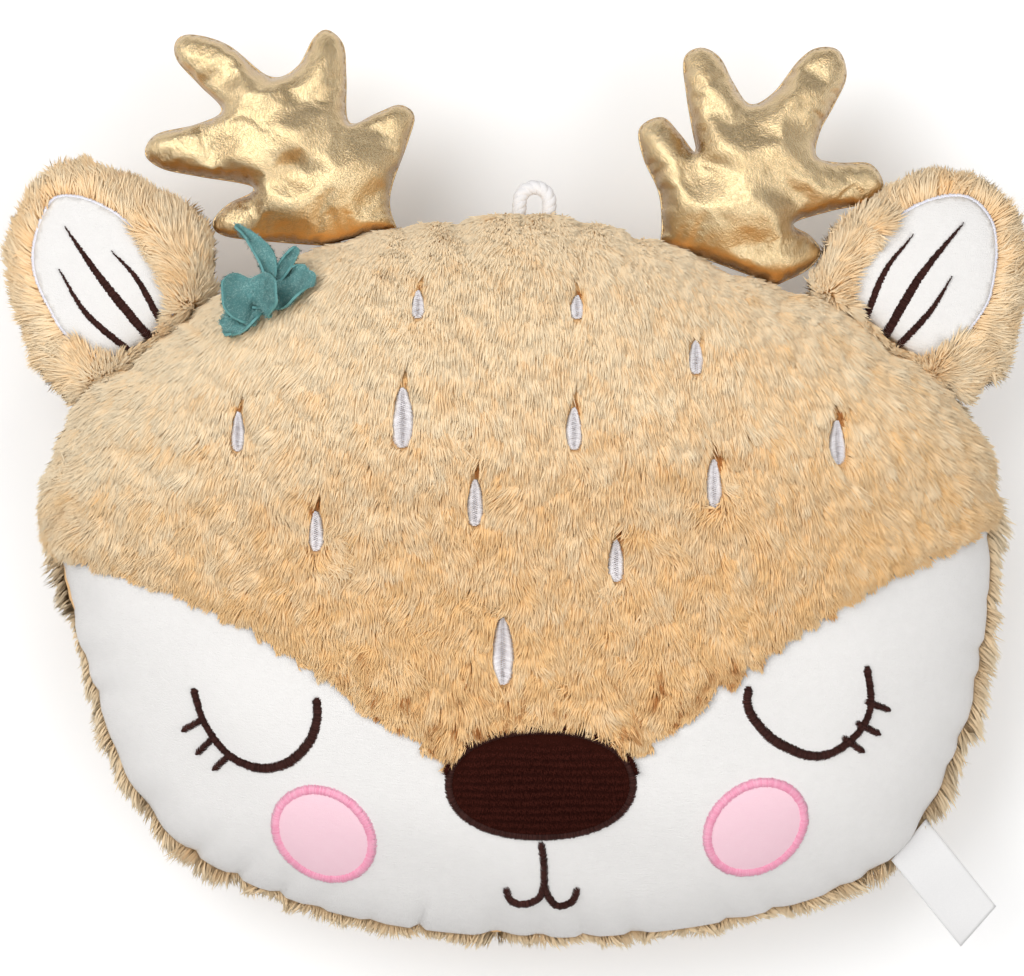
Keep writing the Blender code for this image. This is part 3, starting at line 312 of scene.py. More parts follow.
class Value:
    """A socket of a material, which adds its own Math nodes when it is reckoned with."""

    def __init__(self, sheet, socket):
        self.sheet = sheet
        self.socket = socket

    def math(self, operation, *values):
        return self.sheet.node("Math", {"operation": operation}, dict(enumerate(values)))

    def __add__(self, other):
        return self.math("ADD", self, other)

    def __sub__(self, other):
        return self.math("SUBTRACT", self, other)

    def __rsub__(self, other):
        return self.math("SUBTRACT", other, self)

    def __mul__(self, other):
        return self.math("MULTIPLY", self, other)

    __radd__ = __add__
    __rmul__ = __mul__

    def clamped(self):
        return self.math("MINIMUM", self.math("MAXIMUM", self, 0.0), 1.0)


class Sheet:
    """A tree of shader nodes."""

    def __init__(self, tree):
        self.tree = tree

    def node(self, kind, settings=None, values=None, output=0):
        """Add a node: its settings first, then its sockets' values or links."""
        made = self.tree.nodes.new("ShaderNode" + kind)
        for key, setting in (settings or {}).items():
            setattr(made, key, setting)
        for key, value in (values or {}).items():
            if isinstance(value, Value):
                self.tree.links.new(value.socket, made.inputs[key])
            else:
                made.inputs[key].default_value = value
        return Value(self, made.outputs[output])


class Finish(Sheet):
    """A material, its shader and the nodes that feed it."""

    def __init__(self, name, roughness=0.9, gloss=0.5, metallic=0.0):
        self.material = bpy.data.materials.new(name)
        self.material.use_nodes = True
        super().__init__(self.material.node_tree)
        self.shader = self.tree.nodes["Principled BSDF"]
        self.set("Roughness", roughness)
        self.set("Specular IOR Level", gloss)
        self.set("Metallic", metallic)

    def set(self, socket, value):
        """Give one of the shader's own sockets a value or a link."""
        if isinstance(value, Value):
            self.tree.links.new(value.socket, self.shader.inputs[socket])
        else:
            self.shader.inputs[socket].default_value = value

    def place(self):
        return self.node("TexCoord", output="Object")

    def noise(self, scale, detail=2.0, stretch=(1.0, 1.0, 1.0), turn=0.0, roughness=0.5):
        """Soft noise, as waves per metre, drawn out along an axis by a stretch under one."""
        mapping = {"Vector": self.place(), "Scale": stretch, "Rotation": (0.0, 0.0, turn)}
        vector = self.node("Mapping", {}, mapping)
        values = {"Vector": vector, "Scale": scale, "Detail": detail, "Roughness": roughness}
        return self.node("TexNoise", {}, values)

    def colours(self, share, first, second):
        """A colour between two, by a share."""
        values = {0: share, 6: hue(first), 7: hue(second)}
        return self.node("Mix", {"data_type": "RGBA"}, values, output=2)

    def bump(self, height, distance, strength=1.0, normal=None):
        values = {"Height": height, "Distance": distance, "Strength": strength}
        if normal:
            values["Normal"] = normal
        return self.node("Bump", {}, values)


def hue(colour):
    """A colour, or a link to one, as a socket takes it."""
    return colour if isinstance(colour, Value) else (*colour, 1.0)


def strand_finish(name, deep_root, deep_tip, pale_root, pale_tip, roughness=0.75, gloss=0.5, painted_pit_shade=None):
    """Fur or thread: its tone runs across the strand's own map, and its length up it."""
    finish = Finish(name, roughness=roughness, gloss=gloss)
    along = finish.node("UVMap", {"uv_map": STRAND_MAP})
    tone = finish.node("SeparateXYZ", {}, {0: along})
    reach = finish.node("SeparateXYZ", {}, {0: along}, output=1)
    # On pile the roots take darker colours than the tips: painted shade deep down in the pile.
    deep = finish.colours(reach, deep_root, deep_tip)
    pale = finish.colours(reach, pale_root, pale_tip)
    mixed = finish.colours(tone, deep, pale)
    # The lowest tones turn to a darker brown: painted shadow in the partings above the spots and
    # between the deepest tufts.
    if painted_pit_shade:
        mixed = finish.colours((tone * 9.0).clamped(), painted_pit_shade, mixed)
    finish.set("Base Color", mixed)
    return finish.material


def velour_finish(name, colour, shade, grain=0.00012, ribs=0.0, gloss=0.2):
    """A short pile: fine grain, faint lines of knitting, and a little uneven shade."""
    finish = Finish(name, roughness=0.95, gloss=gloss)
    cloudy = finish.noise(260.0, detail=3.0)
    fine = finish.noise(2600.0, detail=3.0)
    lines = finish.noise(1400.0, detail=1.0, stretch=(0.25, 1.0, 1.0))
    mixed = (cloudy * 0.5 + fine * 0.5 + (lines - 0.5) * ribs).clamped()
    finish.set("Base Color", finish.colours(mixed, shade, colour))
    finish.set("Normal", finish.bump(fine * 0.6 + lines * (0.4 + ribs), grain))
    return finish.material


def lame_finish():
    """Metal-coated cloth: fine crackle, drawn creases, a worn, uneven gloss, and painted shade and a
    painted warm reflection on its sides.
    """
    finish = Finish("gold_lame", metallic=1.0)
    crackle = finish.node("TexVoronoi", {"feature": "DISTANCE_TO_EDGE"},
                          {"Vector": finish.place(), "Scale": 900.0})
    grain = finish.noise(1100.0, detail=4.0, stretch=(1.0, 0.5, 1.0), turn=0.6, roughness=0.75)
    creases = finish.noise(330.0, detail=4.0, stretch=(1.0, 0.35, 1.0), roughness=0.65)
    cloudy = finish.noise(90.0, detail=3.0)
    mixed = (grain * 0.9 + cloudy * 0.4 - 0.2).clamped()
    gold = finish.colours(mixed, (0.58, 0.39, 0.18), (0.92, 0.75, 0.48))
    normal = finish.node("NewGeometry", output=1)
    along = finish.node("SeparateXYZ", {}, {0: normal}, output=1)
    level = finish.node("SeparateXYZ", {}, {0: normal}, output=2)
    # Faces turned down the head go orange: a painted warm reflection of the tan fur.
    gold = finish.colours((along * -1.8 - 0.6).clamped(), gold, (0.80, 0.39, 0.10))
    # Steep faces go dark brown and only faces turned up keep the gold: painted shade on the bag's
    # sides.
    rim = (level * level * 2.4 + 0.05).clamped()
    finish.set("Base Color", finish.colours(rim, (0.40, 0.26, 0.13), gold))
    finish.set("Roughness", grain * 0.14 + cloudy * 0.05 + 0.06)
    coarse = finish.bump(creases, 0.0003, strength=0.4)
    finish.set("Normal", finish.bump(grain + crackle * 0.4, 0.00032, normal=coarse))
    return finish.material


def cloth_finish(name, colour, shade, weave, distance, roughness=0.8):
    """A plain cloth or twisted yarn with a visible weave."""
    finish = Finish(name, roughness=roughness, gloss=0.3)
    across = finish.noise(weave, detail=1.0, stretch=(0.2, 1.0, 1.0))
    down = finish.noise(weave, detail=1.0, stretch=(1.0, 0.2, 1.0))
    woven = across * 0.5 + down * 0.5
    finish.set("Base Color", finish.colours(woven.clamped(), shade, colour))
    finish.set("Normal", finish.bump(woven, distance))
    return finish.material


FINISHES = {
    # Tan fur, darker at the roots than at the tips as painted shade deep in the pile.
    "fur": strand_finish(
        "tan_fur", (0.90, 0.47, 0.16), (0.96, 0.63, 0.30), (0.97, 0.69, 0.40), (1.00, 0.84, 0.60),
        # Its darkest brown, for the lowest tones, is a painted shadow.
        roughness=0.9, gloss=0.05, painted_pit_shade=(0.42, 0.15, 0.04)),
    "backing": cloth_finish(
        "tan_backing", (0.86, 0.56, 0.29), (0.76, 0.46, 0.21), 1800.0, 0.0001, roughness=0.95),
    "velour": velour_finish("white_velour", (0.93, 0.91, 0.89), (0.84, 0.82, 0.80), grain=0.00035),
    "nose": velour_finish(
        "dark_brown_velour", (0.050, 0.011, 0.007), (0.015, 0.003, 0.002), grain=0.0004, ribs=0.3,
        gloss=0.03),
    # Nose nap, darker at the roots than at the tips as painted shade in the pile.
    "nose_pile": strand_finish(
        "dark_brown_pile", (0.014, 0.0025, 0.0018), (0.026, 0.0055, 0.0035), (0.042, 0.0085, 0.0055),
        (0.080, 0.018, 0.012), roughness=0.85, gloss=0.05),
    "cheek": velour_finish("pink_velour", (1.00, 0.71, 0.78), (0.98, 0.64, 0.73), grain=0.0002),
    "brown_thread": strand_finish(
        "dark_brown_stitching", (0.024, 0.007, 0.005), (0.038, 0.012, 0.009), (0.052, 0.018, 0.014),
        (0.085, 0.030, 0.024), roughness=0.5, gloss=0.12),
    "pink_thread": strand_finish(
        "pink_stitching", (0.90, 0.34, 0.50), (0.93, 0.40, 0.56), (0.96, 0.46, 0.61),
        (0.98, 0.55, 0.68), roughness=0.5, gloss=0.3),
    # Silver-lilac satin: paler where each stitch leaves the drop's outline than at its ridge, a painted
    # highlight along the outline and painted shade towards the ridge.
    "lilac_thread": strand_finish(
        "silver_lilac_satin", (0.90, 0.87, 0.88), (0.58, 0.54, 0.56), (0.98, 0.96, 0.97),
        (0.88, 0.84, 0.86), roughness=0.35),
    "piping_thread": strand_finish(
        "lilac_white_satin", (0.80, 0.80, 0.90), (0.80, 0.80, 0.90), (0.92, 0.92, 0.97),
        (0.92, 0.92, 0.97), roughness=0.4),
    "lame": lame_finish(),
    "felt": velour_finish(
        "teal_fleece", (0.23, 0.50, 0.49), (0.12, 0.31, 0.31), grain=0.0006, gloss=0.05),
    # Fleece fibres, darker at the roots than at the tips as painted shade in the pile.
    "felt_pile": strand_finish(
        "teal_fleece_pile", (0.11, 0.29, 0.29), (0.19, 0.41, 0.40), (0.31, 0.56, 0.54),
        (0.46, 0.72, 0.69), roughness=0.9, gloss=0.05),
    "cord": cloth_finish("white_cord_yarn", (0.92, 0.90, 0.90), (0.82, 0.80, 0.80), 2600.0, 0.00012),
    "ribbon": cloth_finish(
        "white_satin_ribbon", (0.88, 0.87, 0.86), (0.80, 0.79, 0.79), 3200.0, 0.00006, roughness=0.4)}


def add_piece(name, mesh, finish, body, replaced=()):
    """Put a finished mesh in the scene, on the body that it moves with."""
    mesh.name = name
    mesh.materials.clear()
    mesh.materials.append(FINISHES[finish])
    if not mesh.has_custom_normals:
        mesh.shade_smooth()
    piece = linked(name, mesh)
    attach(piece, body)
    if replaced:
        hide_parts(*replaced)
    return piece


def opened(*meshes):
    """A bmesh of one mesh or several."""
    work = bmesh.new()
    for mesh in meshes:
        work.from_mesh(mesh)
    return work


def closed_up(work):
    """A mesh from a bmesh that is then freed."""
    mesh = bpy.data.meshes.new("made")
    work.to_mesh(mesh)
    work.free()
    return mesh


def to_mesh(work):
    """A mesh with its faces pointing out, from a bmesh that is then freed."""
    work.normal_update()
    bmesh.ops.recalc_face_normals(work, faces=work.faces)
    return closed_up(work)


def applied(item):
    """The mesh that an object shows with all that works on it. The object itself goes."""
    view = bpy.context.evaluated_depsgraph_get()
    mesh = bpy.data.meshes.new_from_object(item.evaluated_get(view))
    bpy.data.objects.remove(item)
    return mesh


def move_to(vertices, points):
    for vertex, point in zip(vertices, points):
        vertex.co = point


def rows_of(items, name, kind=np.float64):
    """A property of three numbers, such as a place, of every item."""
    values = np.zeros(len(items) * 3, dtype=kind)
    items.foreach_get(name, values)
    return values.reshape(-1, 3)


def curve_through(points, closed):
    """A fine Catmull-Rom curve through the points."""
    points = [np.array(point, dtype=float) for point in points]
    spans = len(points) if closed else len(points) - 1
    if not closed:
        points = [2 * points[0] - points[1], *points, 2 * points[-1] - points[-2]]
    line = []
    shift = -1 if closed else 0
    for index in range(spans):
        before, start, end, after = (points[(index + shift + k) % len(points)] for k in range(4))
        for share in np.linspace(0.0, 1.0, CURVE_STEPS, endpoint=False):
            line.append(0.5 * (2 * start + (end - before) * share
                               + (2 * before - 5 * start + 4 * end - after) * share ** 2
                               + (3 * start - before - 3 * end + after) * share ** 3))
    line.append(points[0] if closed else points[-2])
    return np.array(line)


def run_length(line):
    return float(np.linalg.norm(np.diff(line, axis=0), axis=1).sum())


def even_points(line, count):
    """Evenly spaced points along a fine curve, both its ends among them."""
    travelled = np.concatenate(([0.0], np.cumsum(np.linalg.norm(np.diff(line, axis=0), axis=1))))
    stops = np.linspace(0.0, travelled[-1], count)
    return np.stack([np.interp(stops, travelled, values) for values in line.T], axis=1)


def waves(points, size, seed, count=9):
    """Smooth noise from about -1 to 1 over places or points, as sines of about one size."""
    dice = np.random.default_rng(seed)
    points = np.asarray(points, dtype=float)
    total = np.zeros(len(points))
    for _ in range(count):
        heading = dice.normal(size=points.shape[1])
        heading *= 2 * math.pi / (size * dice.uniform(0.7, 1.6) * np.linalg.norm(heading))
        total += np.sin(points @ heading + dice.uniform(0.0, 2 * math.pi))
    return total / math.sqrt(count)


def smooth_share(values, low, high):
    """0 at low, 1 at high, and smooth between them."""
    share = np.clip((np.asarray(values, dtype=float) - low) / (high - low), 0.0, 1.0)
    return share * share * (3 - 2 * share)


def unit(vectors):
    return vectors / np.maximum(np.linalg.norm(vectors, axis=-1, keepdims=True), 1e-12)


HEAD_LINE = curve_through(HEAD_OUTLINE_SHARES, closed=True) * (HEAD_HALF_WIDTH, HEAD_HALF_HEIGHT)
HEAD_ANGLES = np.arctan2(HEAD_LINE[:, 1], HEAD_LINE[:, 0])
HEAD_RADII = np.hypot(HEAD_LINE[:, 0], HEAD_LINE[:, 1])
BROW_LINE = np.array(BROW_SEAM_SHARES) * (HEAD_HALF_WIDTH, HEAD_HALF_HEIGHT)


def head_radius(angles):
    """Distance from the head's middle to its seam, seen from above."""
    return np.interp(angles, HEAD_ANGLES, HEAD_RADII, period=2 * math.pi)


def above_brow(places):
    """How far each place lies above the seam between the brow's fur and the face."""
    return places[:, 1] - np.interp(places[:, 0], BROW_LINE[:, 0], BROW_LINE[:, 1])


def head_place(shares):
    return np.array((shares[0] * HEAD_HALF_WIDTH, shares[1] * HEAD_HALF_HEIGHT))


def head_places(rows):
    return [head_place(shares) for shares in rows]


def contains(outline, points):
    """Which points lie inside a closed outline."""
    inside = np.zeros(len(points), dtype=bool)
    for start, end in zip(outline, np.roll(outline, -1, axis=0)):
        crosses = (start[1] > points[:, 1]) != (end[1] > points[:, 1])
        rise = end[1] - start[1]
        if rise:
            at = start[0] + (points[:, 1] - start[1]) / rise * (end[0] - start[0])
            inside ^= crosses & (points[:, 0] < at)
    return inside


def distance_to(outline, points):
    """Distance from each point to a closed outline."""
    nearest = np.full(len(points), np.inf)
    for start, end in zip(outline, np.roll(outline, -1, axis=0)):
        run = end - start
        share = np.clip((points - start) @ run / max(float(run @ run), 1e-18), 0.0, 1.0)
        nearest = np.minimum(nearest, np.linalg.norm(points - start - share[:, None] * run, axis=1))
    return nearest


def rounded_oval(centre, half_width, half_height, squareness, tilt, sides):
    """A closed outline, counter-clockwise, between an ellipse and a rectangle."""
    angles = np.linspace(0.0, 2 * math.pi, sides, endpoint=False)
    across = np.sign(np.cos(angles)) * np.abs(np.cos(angles)) ** (2 / squareness) * half_width
    along = np.sign(np.sin(angles)) * np.abs(np.sin(angles)) ** (2 / squareness) * half_height
    turn = math.radians(tilt)
    return np.stack([centre[0] + across * math.cos(turn) - along * math.sin(turn),
                     centre[1] + across * math.sin(turn) + along * math.cos(turn)], axis=1)


SPOTS = [(head_place(row[:2]), row[2] * SPOT_WIDTH, row[3] * SPOT_LENGTH) for row in SPOT_SHARES]
NOSE_PLACE = head_place(NOSE_PLACE_SHARE)


def head_skin():
    """The whole head as one closed cloth form, with gathers at its seam and dimples at its spots."""
    work = bmesh.new()
    bmesh.ops.create_uvsphere(work, u_segments=HEAD_SEGMENTS, v_segments=HEAD_RINGS, radius=1.0)
    # The operator's faces come in another order each run, and the places of the pile hang on it
    work.verts.index_update()
    size = len(work.verts)
    work.faces.sort(key=lambda face: face.verts[0].index * size + face.verts[1].index)
    ball = np.array([vertex.co for vertex in work.verts])
    angles = np.arctan2(ball[:, 1], ball[:, 0])
    shares = np.minimum(np.hypot(ball[:, 0], ball[:, 1]), 1.0)
    rise = (1.0 - shares ** CROWN_ROUNDNESS) ** SEAM_PINCH
    front = ball[:, 2] > 0
    radii = head_radius(angles)
    seam_distance = (1.0 - shares) * radii
    around = np.stack([np.cos(angles), np.sin(angles)], axis=1)
    gathers = np.abs(waves(around, GATHER_SPACING, seed=3, count=7))
    notches = np.maximum(1.0 - gathers / GATHER_WIDTH, 0.0) ** 2
    depth = GATHER_DEPTH * notches * np.exp(-((seam_distance - GATHER_START) / GATHER_REACH) ** 2)
    radii = shares * radii - depth * shares
    places = around * radii[:, None]
    heights = np.where(front, FACE_CROWN, -BACK_CROWN) * rise
    heights = heights - np.sign(ball[:, 2]) * depth * GATHER_SINK_SHARE
    for centre, _, _ in SPOTS:
        away = np.hypot(*(places - centre).T)
        heights -= np.where(front, DIMPLE_DEPTH * np.exp(-(away / DIMPLE_REACH) ** 2), 0.0)
    uneven = UNEVENNESS * waves(places, UNEVENNESS_SIZE, seed=8) * np.minimum(rise * 2, 1.0)
    heights += np.where(front, uneven, 0.0)
    heights = np.maximum(SEAM_HEIGHT + heights, FLOOR_CLEARANCE)
    move_to(work.verts, np.column_stack((places, heights)))
    return to_mesh(work)


def part_of(mesh, keep):
    """A copy of the faces of a mesh whose middles pass a test."""
    work = opened(mesh)
    middles = np.array([face.calc_center_median() for face in work.faces])
    unwanted = [face for face, kept in zip(work.faces, keep(middles)) if not kept]
    bmesh.ops.delete(work, geom=unwanted, context="FACES")
    return closed_up(work)


def on_face(points):
    return points[:, 2] > SEAM_HEIGHT


class Surface:
    """A cloth form that things are laid on, seen along its own Z."""

    def __init__(self, mesh):
        work = opened(mesh)
        self.tree = BVHTree.FromBMesh(work)
        self.top = max(vertex.co.z for vertex in work.verts) + 0.01
        work.free()

    def point(self, place):
        above = Vector((place[0], place[1], self.top))
        found = self.tree.ray_cast(above, Vector((0.0, 0.0, -1.0)))[0]
        if found is None:
            found = self.tree.find_nearest(above)[0]
        return np.array(found)

    def points(self, places):
        return np.array([self.point(place) for place in places])

    def normals(self, places, step=0.0012):
        places = np.asarray(places)
        across = self.points(places + (step, 0.0)) - self.points(places - (step, 0.0))
        along = self.points(places + (0.0, step)) - self.points(places - (0.0, step))
        return unit(np.cross(across, along))


def strand_template():
    """A hair of four faces: a root, two shoulders half way up, and a tip."""
    work = bmesh.new()
    bmesh.ops.create_cone(work, cap_ends=True, segments=3, radius1=0.5, radius2=0.0, depth=1.0)
    tip = max(work.verts, key=lambda vertex: vertex.co.z)
    others = (vertex for vertex in work.verts if vertex is not tip)
    left, root, right = sorted(others, key=lambda vertex: vertex.co.x)
    tip.co = (0.0, 0.0, 1.0)
    root.co = (0.0, 0.0, 0.0)
    left.co = (-0.5, 0.3, 0.45)
    right.co = (0.5, 0.3, 0.45)
    return to_mesh(work)


def stitch_template(steps=4, sides=4):
    """A length of thread, one unit long and one unit wide, with drawn-in ends."""
    work = bmesh.new()
    bmesh.ops.create_cone(work, cap_ends=True, segments=sides, radius1=0.5, radius2=0.5, depth=1.0)
    bmesh.ops.translate(work, vec=(0.0, 0.0, 0.5), verts=work.verts)
    for step in range(1, steps):
        bmesh.ops.bisect_plane(work, geom=work.verts[:] + work.edges[:] + work.faces[:],
                               plane_co=(0.0, 0.0, step / steps), plane_no=(0.0, 0.0, 1.0))
    for vertex in work.verts:
        if min(vertex.co.z, 1.0 - vertex.co.z) < 0.01:
            vertex.co.x *= THREAD_END_SHARE
            vertex.co.y *= THREAD_END_SHARE
    bmesh.ops.triangulate(work, faces=work.faces)
    return to_mesh(work)


def plant(template, roots, elbows, tips, ups, width, thickness, tones, soft=None):
    """Copies of a strand, each bent from its root by its elbow to its tip, as one mesh.

    Soft pile is lit by the normals in soft, those of its cloth, more than by its own."""
    count, size = len(roots), len(template.vertices)
    shape = rows_of(template.vertices, "co")
    corners = np.array([list(face.vertices) for face in template.polygons]).ravel()
    side = unit(np.cross(ups, tips - roots))
    width = np.broadcast_to(width, (count,))[:, None]
    thickness = np.broadcast_to(thickness, (count,))[:, None]
    places = np.empty((count, size, 3))
    for index, (across, over, share) in enumerate(shape):
        spine = (1 - share) ** 2 * roots + 2 * share * (1 - share) * elbows + share ** 2 * tips
        places[:, index] = spine + side * width * across + ups * thickness * over
    mesh = bpy.data.meshes.new("planted")
    mesh.vertices.add(count * size)
    mesh.vertices.foreach_set("co", places.ravel())
    loops = (np.arange(count)[:, None] * size + corners[None]).ravel()
    mesh.loops.add(len(loops))
    mesh.loops.foreach_set("vertex_index", loops)
    mesh.polygons.add(len(loops) // 3)
    mesh.polygons.foreach_set("loop_start", np.arange(0, len(loops), 3))
    mesh.update(calc_edges=True)
    tone = (np.floor(np.clip(tones, 0.0, 0.999) * TONE_COLUMNS) + 0.5) / TONE_COLUMNS
    lean = np.array([-0.35, 0.35, 0.0] * (len(corners) // 3)) / TONE_COLUMNS
    across = tone[:, None] + lean[None]
    along = np.broadcast_to(0.02 + 0.96 * shape[corners, 2], across.shape)
    layer = mesh.uv_layers.new(name=STRAND_MAP)
    layer.data.foreach_set("uv", np.stack([across, along], axis=2).ravel())
    if soft is not None:
        mesh.shade_smooth()
        turned = side[:, None, :] * shape[None, :, 0:1] * STRAND_ROUNDNESS + soft[:, None, :]
        mesh.normals_split_custom_set_from_vertices(unit(turned).reshape(-1, 3))
    return mesh


def scatter(mesh, count, seed):
    """Even random points on a mesh, with its smooth normals there."""
    mesh.calc_loop_triangles()
    corners = rows_of(mesh.loop_triangles, "vertices", np.int64)
    points = rows_of(mesh.vertices, "co")
    normals = rows_of(mesh.vertex_normals, "vector")
    one, two, three = (points[corners[:, k]] for k in range(3))
    areas = np.linalg.norm(np.cross(two - one, three - one), axis=1)
    dice = np.random.default_rng(seed)
    chosen = corners[dice.choice(len(areas), size=count, p=areas / areas.sum())]
    first, second = np.sqrt(dice.random(count)), dice.random(count)
    weights = np.stack([1 - first, first * (1 - second), first * second], axis=1)
    places = (points[chosen] * weights[:, :, None]).sum(axis=1)
    return places, unit((normals[chosen] * weights[:, :, None]).sum(axis=1)), dice


def tufted(roots, elbows, tips, dice, share):
    """Draw the tips of neighbouring hairs together, so that they stand in tufts."""
    count = max(8, int(len(roots) / max(1.0, strands_per_tuft(roots))))
    leaders = dice.choice(len(roots), size=count, replace=False)
    tree = KDTree(count)
    for index, leader in enumerate(leaders):
        tree.insert(roots[leader], index)
    tree.balance()
    nearest = leaders[[tree.find(root)[1] for root in roots]]
    pull = np.reshape(share * dice.uniform(0.3, 1.0, len(roots)), (-1, 1))
    tips = tips + (tips[nearest] - tips) * pull
    elbows = elbows + (elbows[nearest] - elbows) * pull * 0.4
    return elbows, tips, nearest


def strands_per_tuft(roots):
    """How many hairs share a tuft, from the density of the roots round one of them."""
    middle = roots[len(roots) // 2]
    near = np.linalg.norm(roots - middle, axis=1) < 2 * TUFT_SPACING
    return near.sum() / (math.pi * 4)


def lit_from_above(normals):
    """Normals for soft pile: drawn upwards, for light that soaks in, but not on the underside."""
    upper = smooth_share(normals[:, 2], -0.9, 0.1)[:, None]
    return unit(normals + (0.0, 0.0, PILE_SOAK) * upper)


def grow_fur(name, roots, normals, flow, dice, body, length=1.0, upright=0.0, tones=0.0, kept=None,
             tuft=0.45, unrest=1.0, fineness=1.0):
    """Pile over roots: combed by flow, drawn into tufts, and split into pieces of a fair size."""
    ruffle = np.stack([waves(roots, RUFFLE_SIZE, seed=21 + k) for k in range(3)], axis=1)
    drift = np.stack([waves(roots, DRIFT_SIZE, seed=31 + k) for k in range(3)], axis=1)
    stray = 0.24 * ruffle + 0.24 * drift + 0.17 * dice.normal(size=roots.shape)
    heading = unit(flow) + np.reshape(unrest, (-1, 1)) * stray
    heading = unit(heading - (heading * normals).sum(axis=1, keepdims=True) * normals)
    lift = STRAND_LEAN + 0.10 * waves(roots, 0.006, seed=41)
    lift = lift + 0.10 * dice.normal(size=len(roots)) + upright
    lift = np.clip(lift, 0.10, 1.25)[:, None]
    reach = STRAND_LENGTH * length * (1 + 0.10 * waves(roots, RUFFLE_SIZE, seed=51))
    reach = (reach * dice.uniform(0.65, 1.10, len(roots)))[:, None]
    steep = lift + STRAND_BEND
    elbows = roots + reach * 0.5 * (heading * np.cos(steep) + normals * np.sin(steep))
    tips = roots + reach * (heading * np.cos(lift) + normals * np.sin(lift))
    roots = roots - normals * STRAND_ROOT_DEPTH
    elbows, tips, nearest = tufted(roots, elbows, tips, dice, tuft)
    own = dice.normal(size=len(roots))
    shade = 0.51 + 0.13 * waves(roots, 0.012, seed=61) + 0.11 * own[nearest] + 0.08 * own + tones
    shade = np.maximum(shade, np.minimum(0.12, 0.46 + tones))
    if kept is not None:
        wanted = kept(roots, elbows, tips)
        roots, normals, elbows, tips = (each[wanted] for each in (roots, normals, elbows, tips))
        shade = shade[wanted]
    for each in (elbows, tips):
        each[:, 2] = np.maximum(each[:, 2], FLOOR_CLEARANCE * (2 + np.abs(np.sin(each[:, 0] * 9e4))))
    template = strand_template()
    per_piece = PIECE_TRIANGLES // len(template.polygons)
    pieces = max(1, math.ceil(len(roots) / per_piece))
    order = np.array_split(np.argsort(roots[:, 0]), pieces)
    width = STRAND_WIDTH * fineness * dice.uniform(0.75, 1.25, len(roots))
    for number, part in enumerate(order, 1):
        mesh = plant(template, roots[part], elbows[part], tips[part], normals[part], width[part],
                     width[part] * 0.6, shade[part], lit_from_above(normals[part]))
        add_piece(f"{name}_{number}" if pieces > 1 else name, mesh, "fur", body)


def clear_of_sewing(roots, elbows, tips):
    """Which hairs of the brow leave the spots, the nose and the loop in view."""
    wanted = np.ones(len(roots), dtype=bool)
    for centre, width, length in SPOTS:
        drop = spot_outline(centre, width * 0.98, length)
        inner = spot_outline(centre + (0.0, 0.02 * length), width * 0.96, length * 0.92)
        wanted &= ~contains(drop, roots[:, :2])
        wanted &= ~contains(inner, elbows[:, :2]) & ~contains(inner, tips[:, :2])
        if centre[1] < 0.0:
            continue
        middle = slit_place(centre, length)
        slit = rounded_oval(middle, SLIT_HALF_WIDTH, SLIT_HALF_LENGTH, 2.0, SLIT_TILT, 12)
        across = contains(slit, tips[:, :2]) | contains(slit, elbows[:, :2])
        wanted &= ~(across & ~contains(slit, roots[:, :2]))
    for ends, reach in ((roots, BORDER_WIDTH), (elbows, BORDER_WIDTH / 2), (tips, BORDER_WIDTH / 3)):
        nose = rounded_oval(NOSE_PLACE, NOSE_HALF_WIDTH + reach, NOSE_HALF_HEIGHT + reach,
                            NOSE_SQUARENESS, 0.0, 48)
        wanted &= ~contains(nose, ends[:, :2])
    return wanted & clear_of_loop(roots, elbows, tips)


def clear_of_loop(roots, elbows, tips):
    """Which hairs don't stand in front of the hanging loop."""
    place = limb_frame("hanging_loop_flop").translation
    beside = np.abs(roots[:, 0] - place.x) < 0.013
    return ~(beside & (np.maximum(tips[:, 1], elbows[:, 1]) > place.y + 0.0014))


def clear_of_sewn_in(roots, elbows, tips):
    """Which hairs of the back leave the label and the loop in view."""
    place = np.array(limb_frame("label_flap").translation)
    near = np.linalg.norm(roots - place, axis=1) < 0.0125
    over = np.maximum(tips[:, 2], elbows[:, 2]) > place[2] - 0.0015
    return ~(near & over) & clear_of_loop(roots, elbows, tips)


def slit_place(centre, length):
    """The middle of the parting in the fur just above a spot."""
    return centre + (SLIT_OFFSET[0], length / 2 + SLIT_OFFSET[1])


def spot_outline(centre, width, length, sides=24):
    """A drop's closed outline, counter-clockwise, fuller below than above."""
    angles = np.linspace(0.0, 2 * math.pi, sides, endpoint=False)
    up = np.cos(angles)
    half = -np.sign(np.sin(angles)) * spot_half_width((1 + up) / 2, width)
    return np.stack([centre[0] + half, centre[1] + length / 2 * up], axis=1)


def spot_half_width(shares, width):
    """Half the width of a drop at a share of its length, from its foot up."""
    fullness = np.sqrt(np.clip(4 * shares * (1 - shares), 0.0, 1.0)) ** 0.85
    return width / 2 * fullness * (1.10 - 0.42 * shares)


def build_head():
    """Face, brow and back: cloth panels, and the pile on two of them."""
    skin = head_skin()
    face = part_of(skin, lambda at: on_face(at) & (above_brow(at) < BROW_SEAM_LIFT))
    brow = part_of(skin, lambda at: on_face(at) & (above_brow(at) >= BROW_SEAM_LIFT))
    back = part_of(skin, lambda at: ~on_face(at))
    panels = (("face_velour", face, "velour", ["face_panel"]),
              ("forehead_backing", brow, "backing", ["forehead_panel"]),
              ("back_backing", back, "backing", ["back_panel", "head_stuffing"]))
    for name, panel, finish, nodes in panels:
        piece = add_piece(name, panel, finish, "head", nodes)
        give_wall(piece)
    grow_brow_fur(brow)
    grow_back_fur(back)
    return Surface(skin)


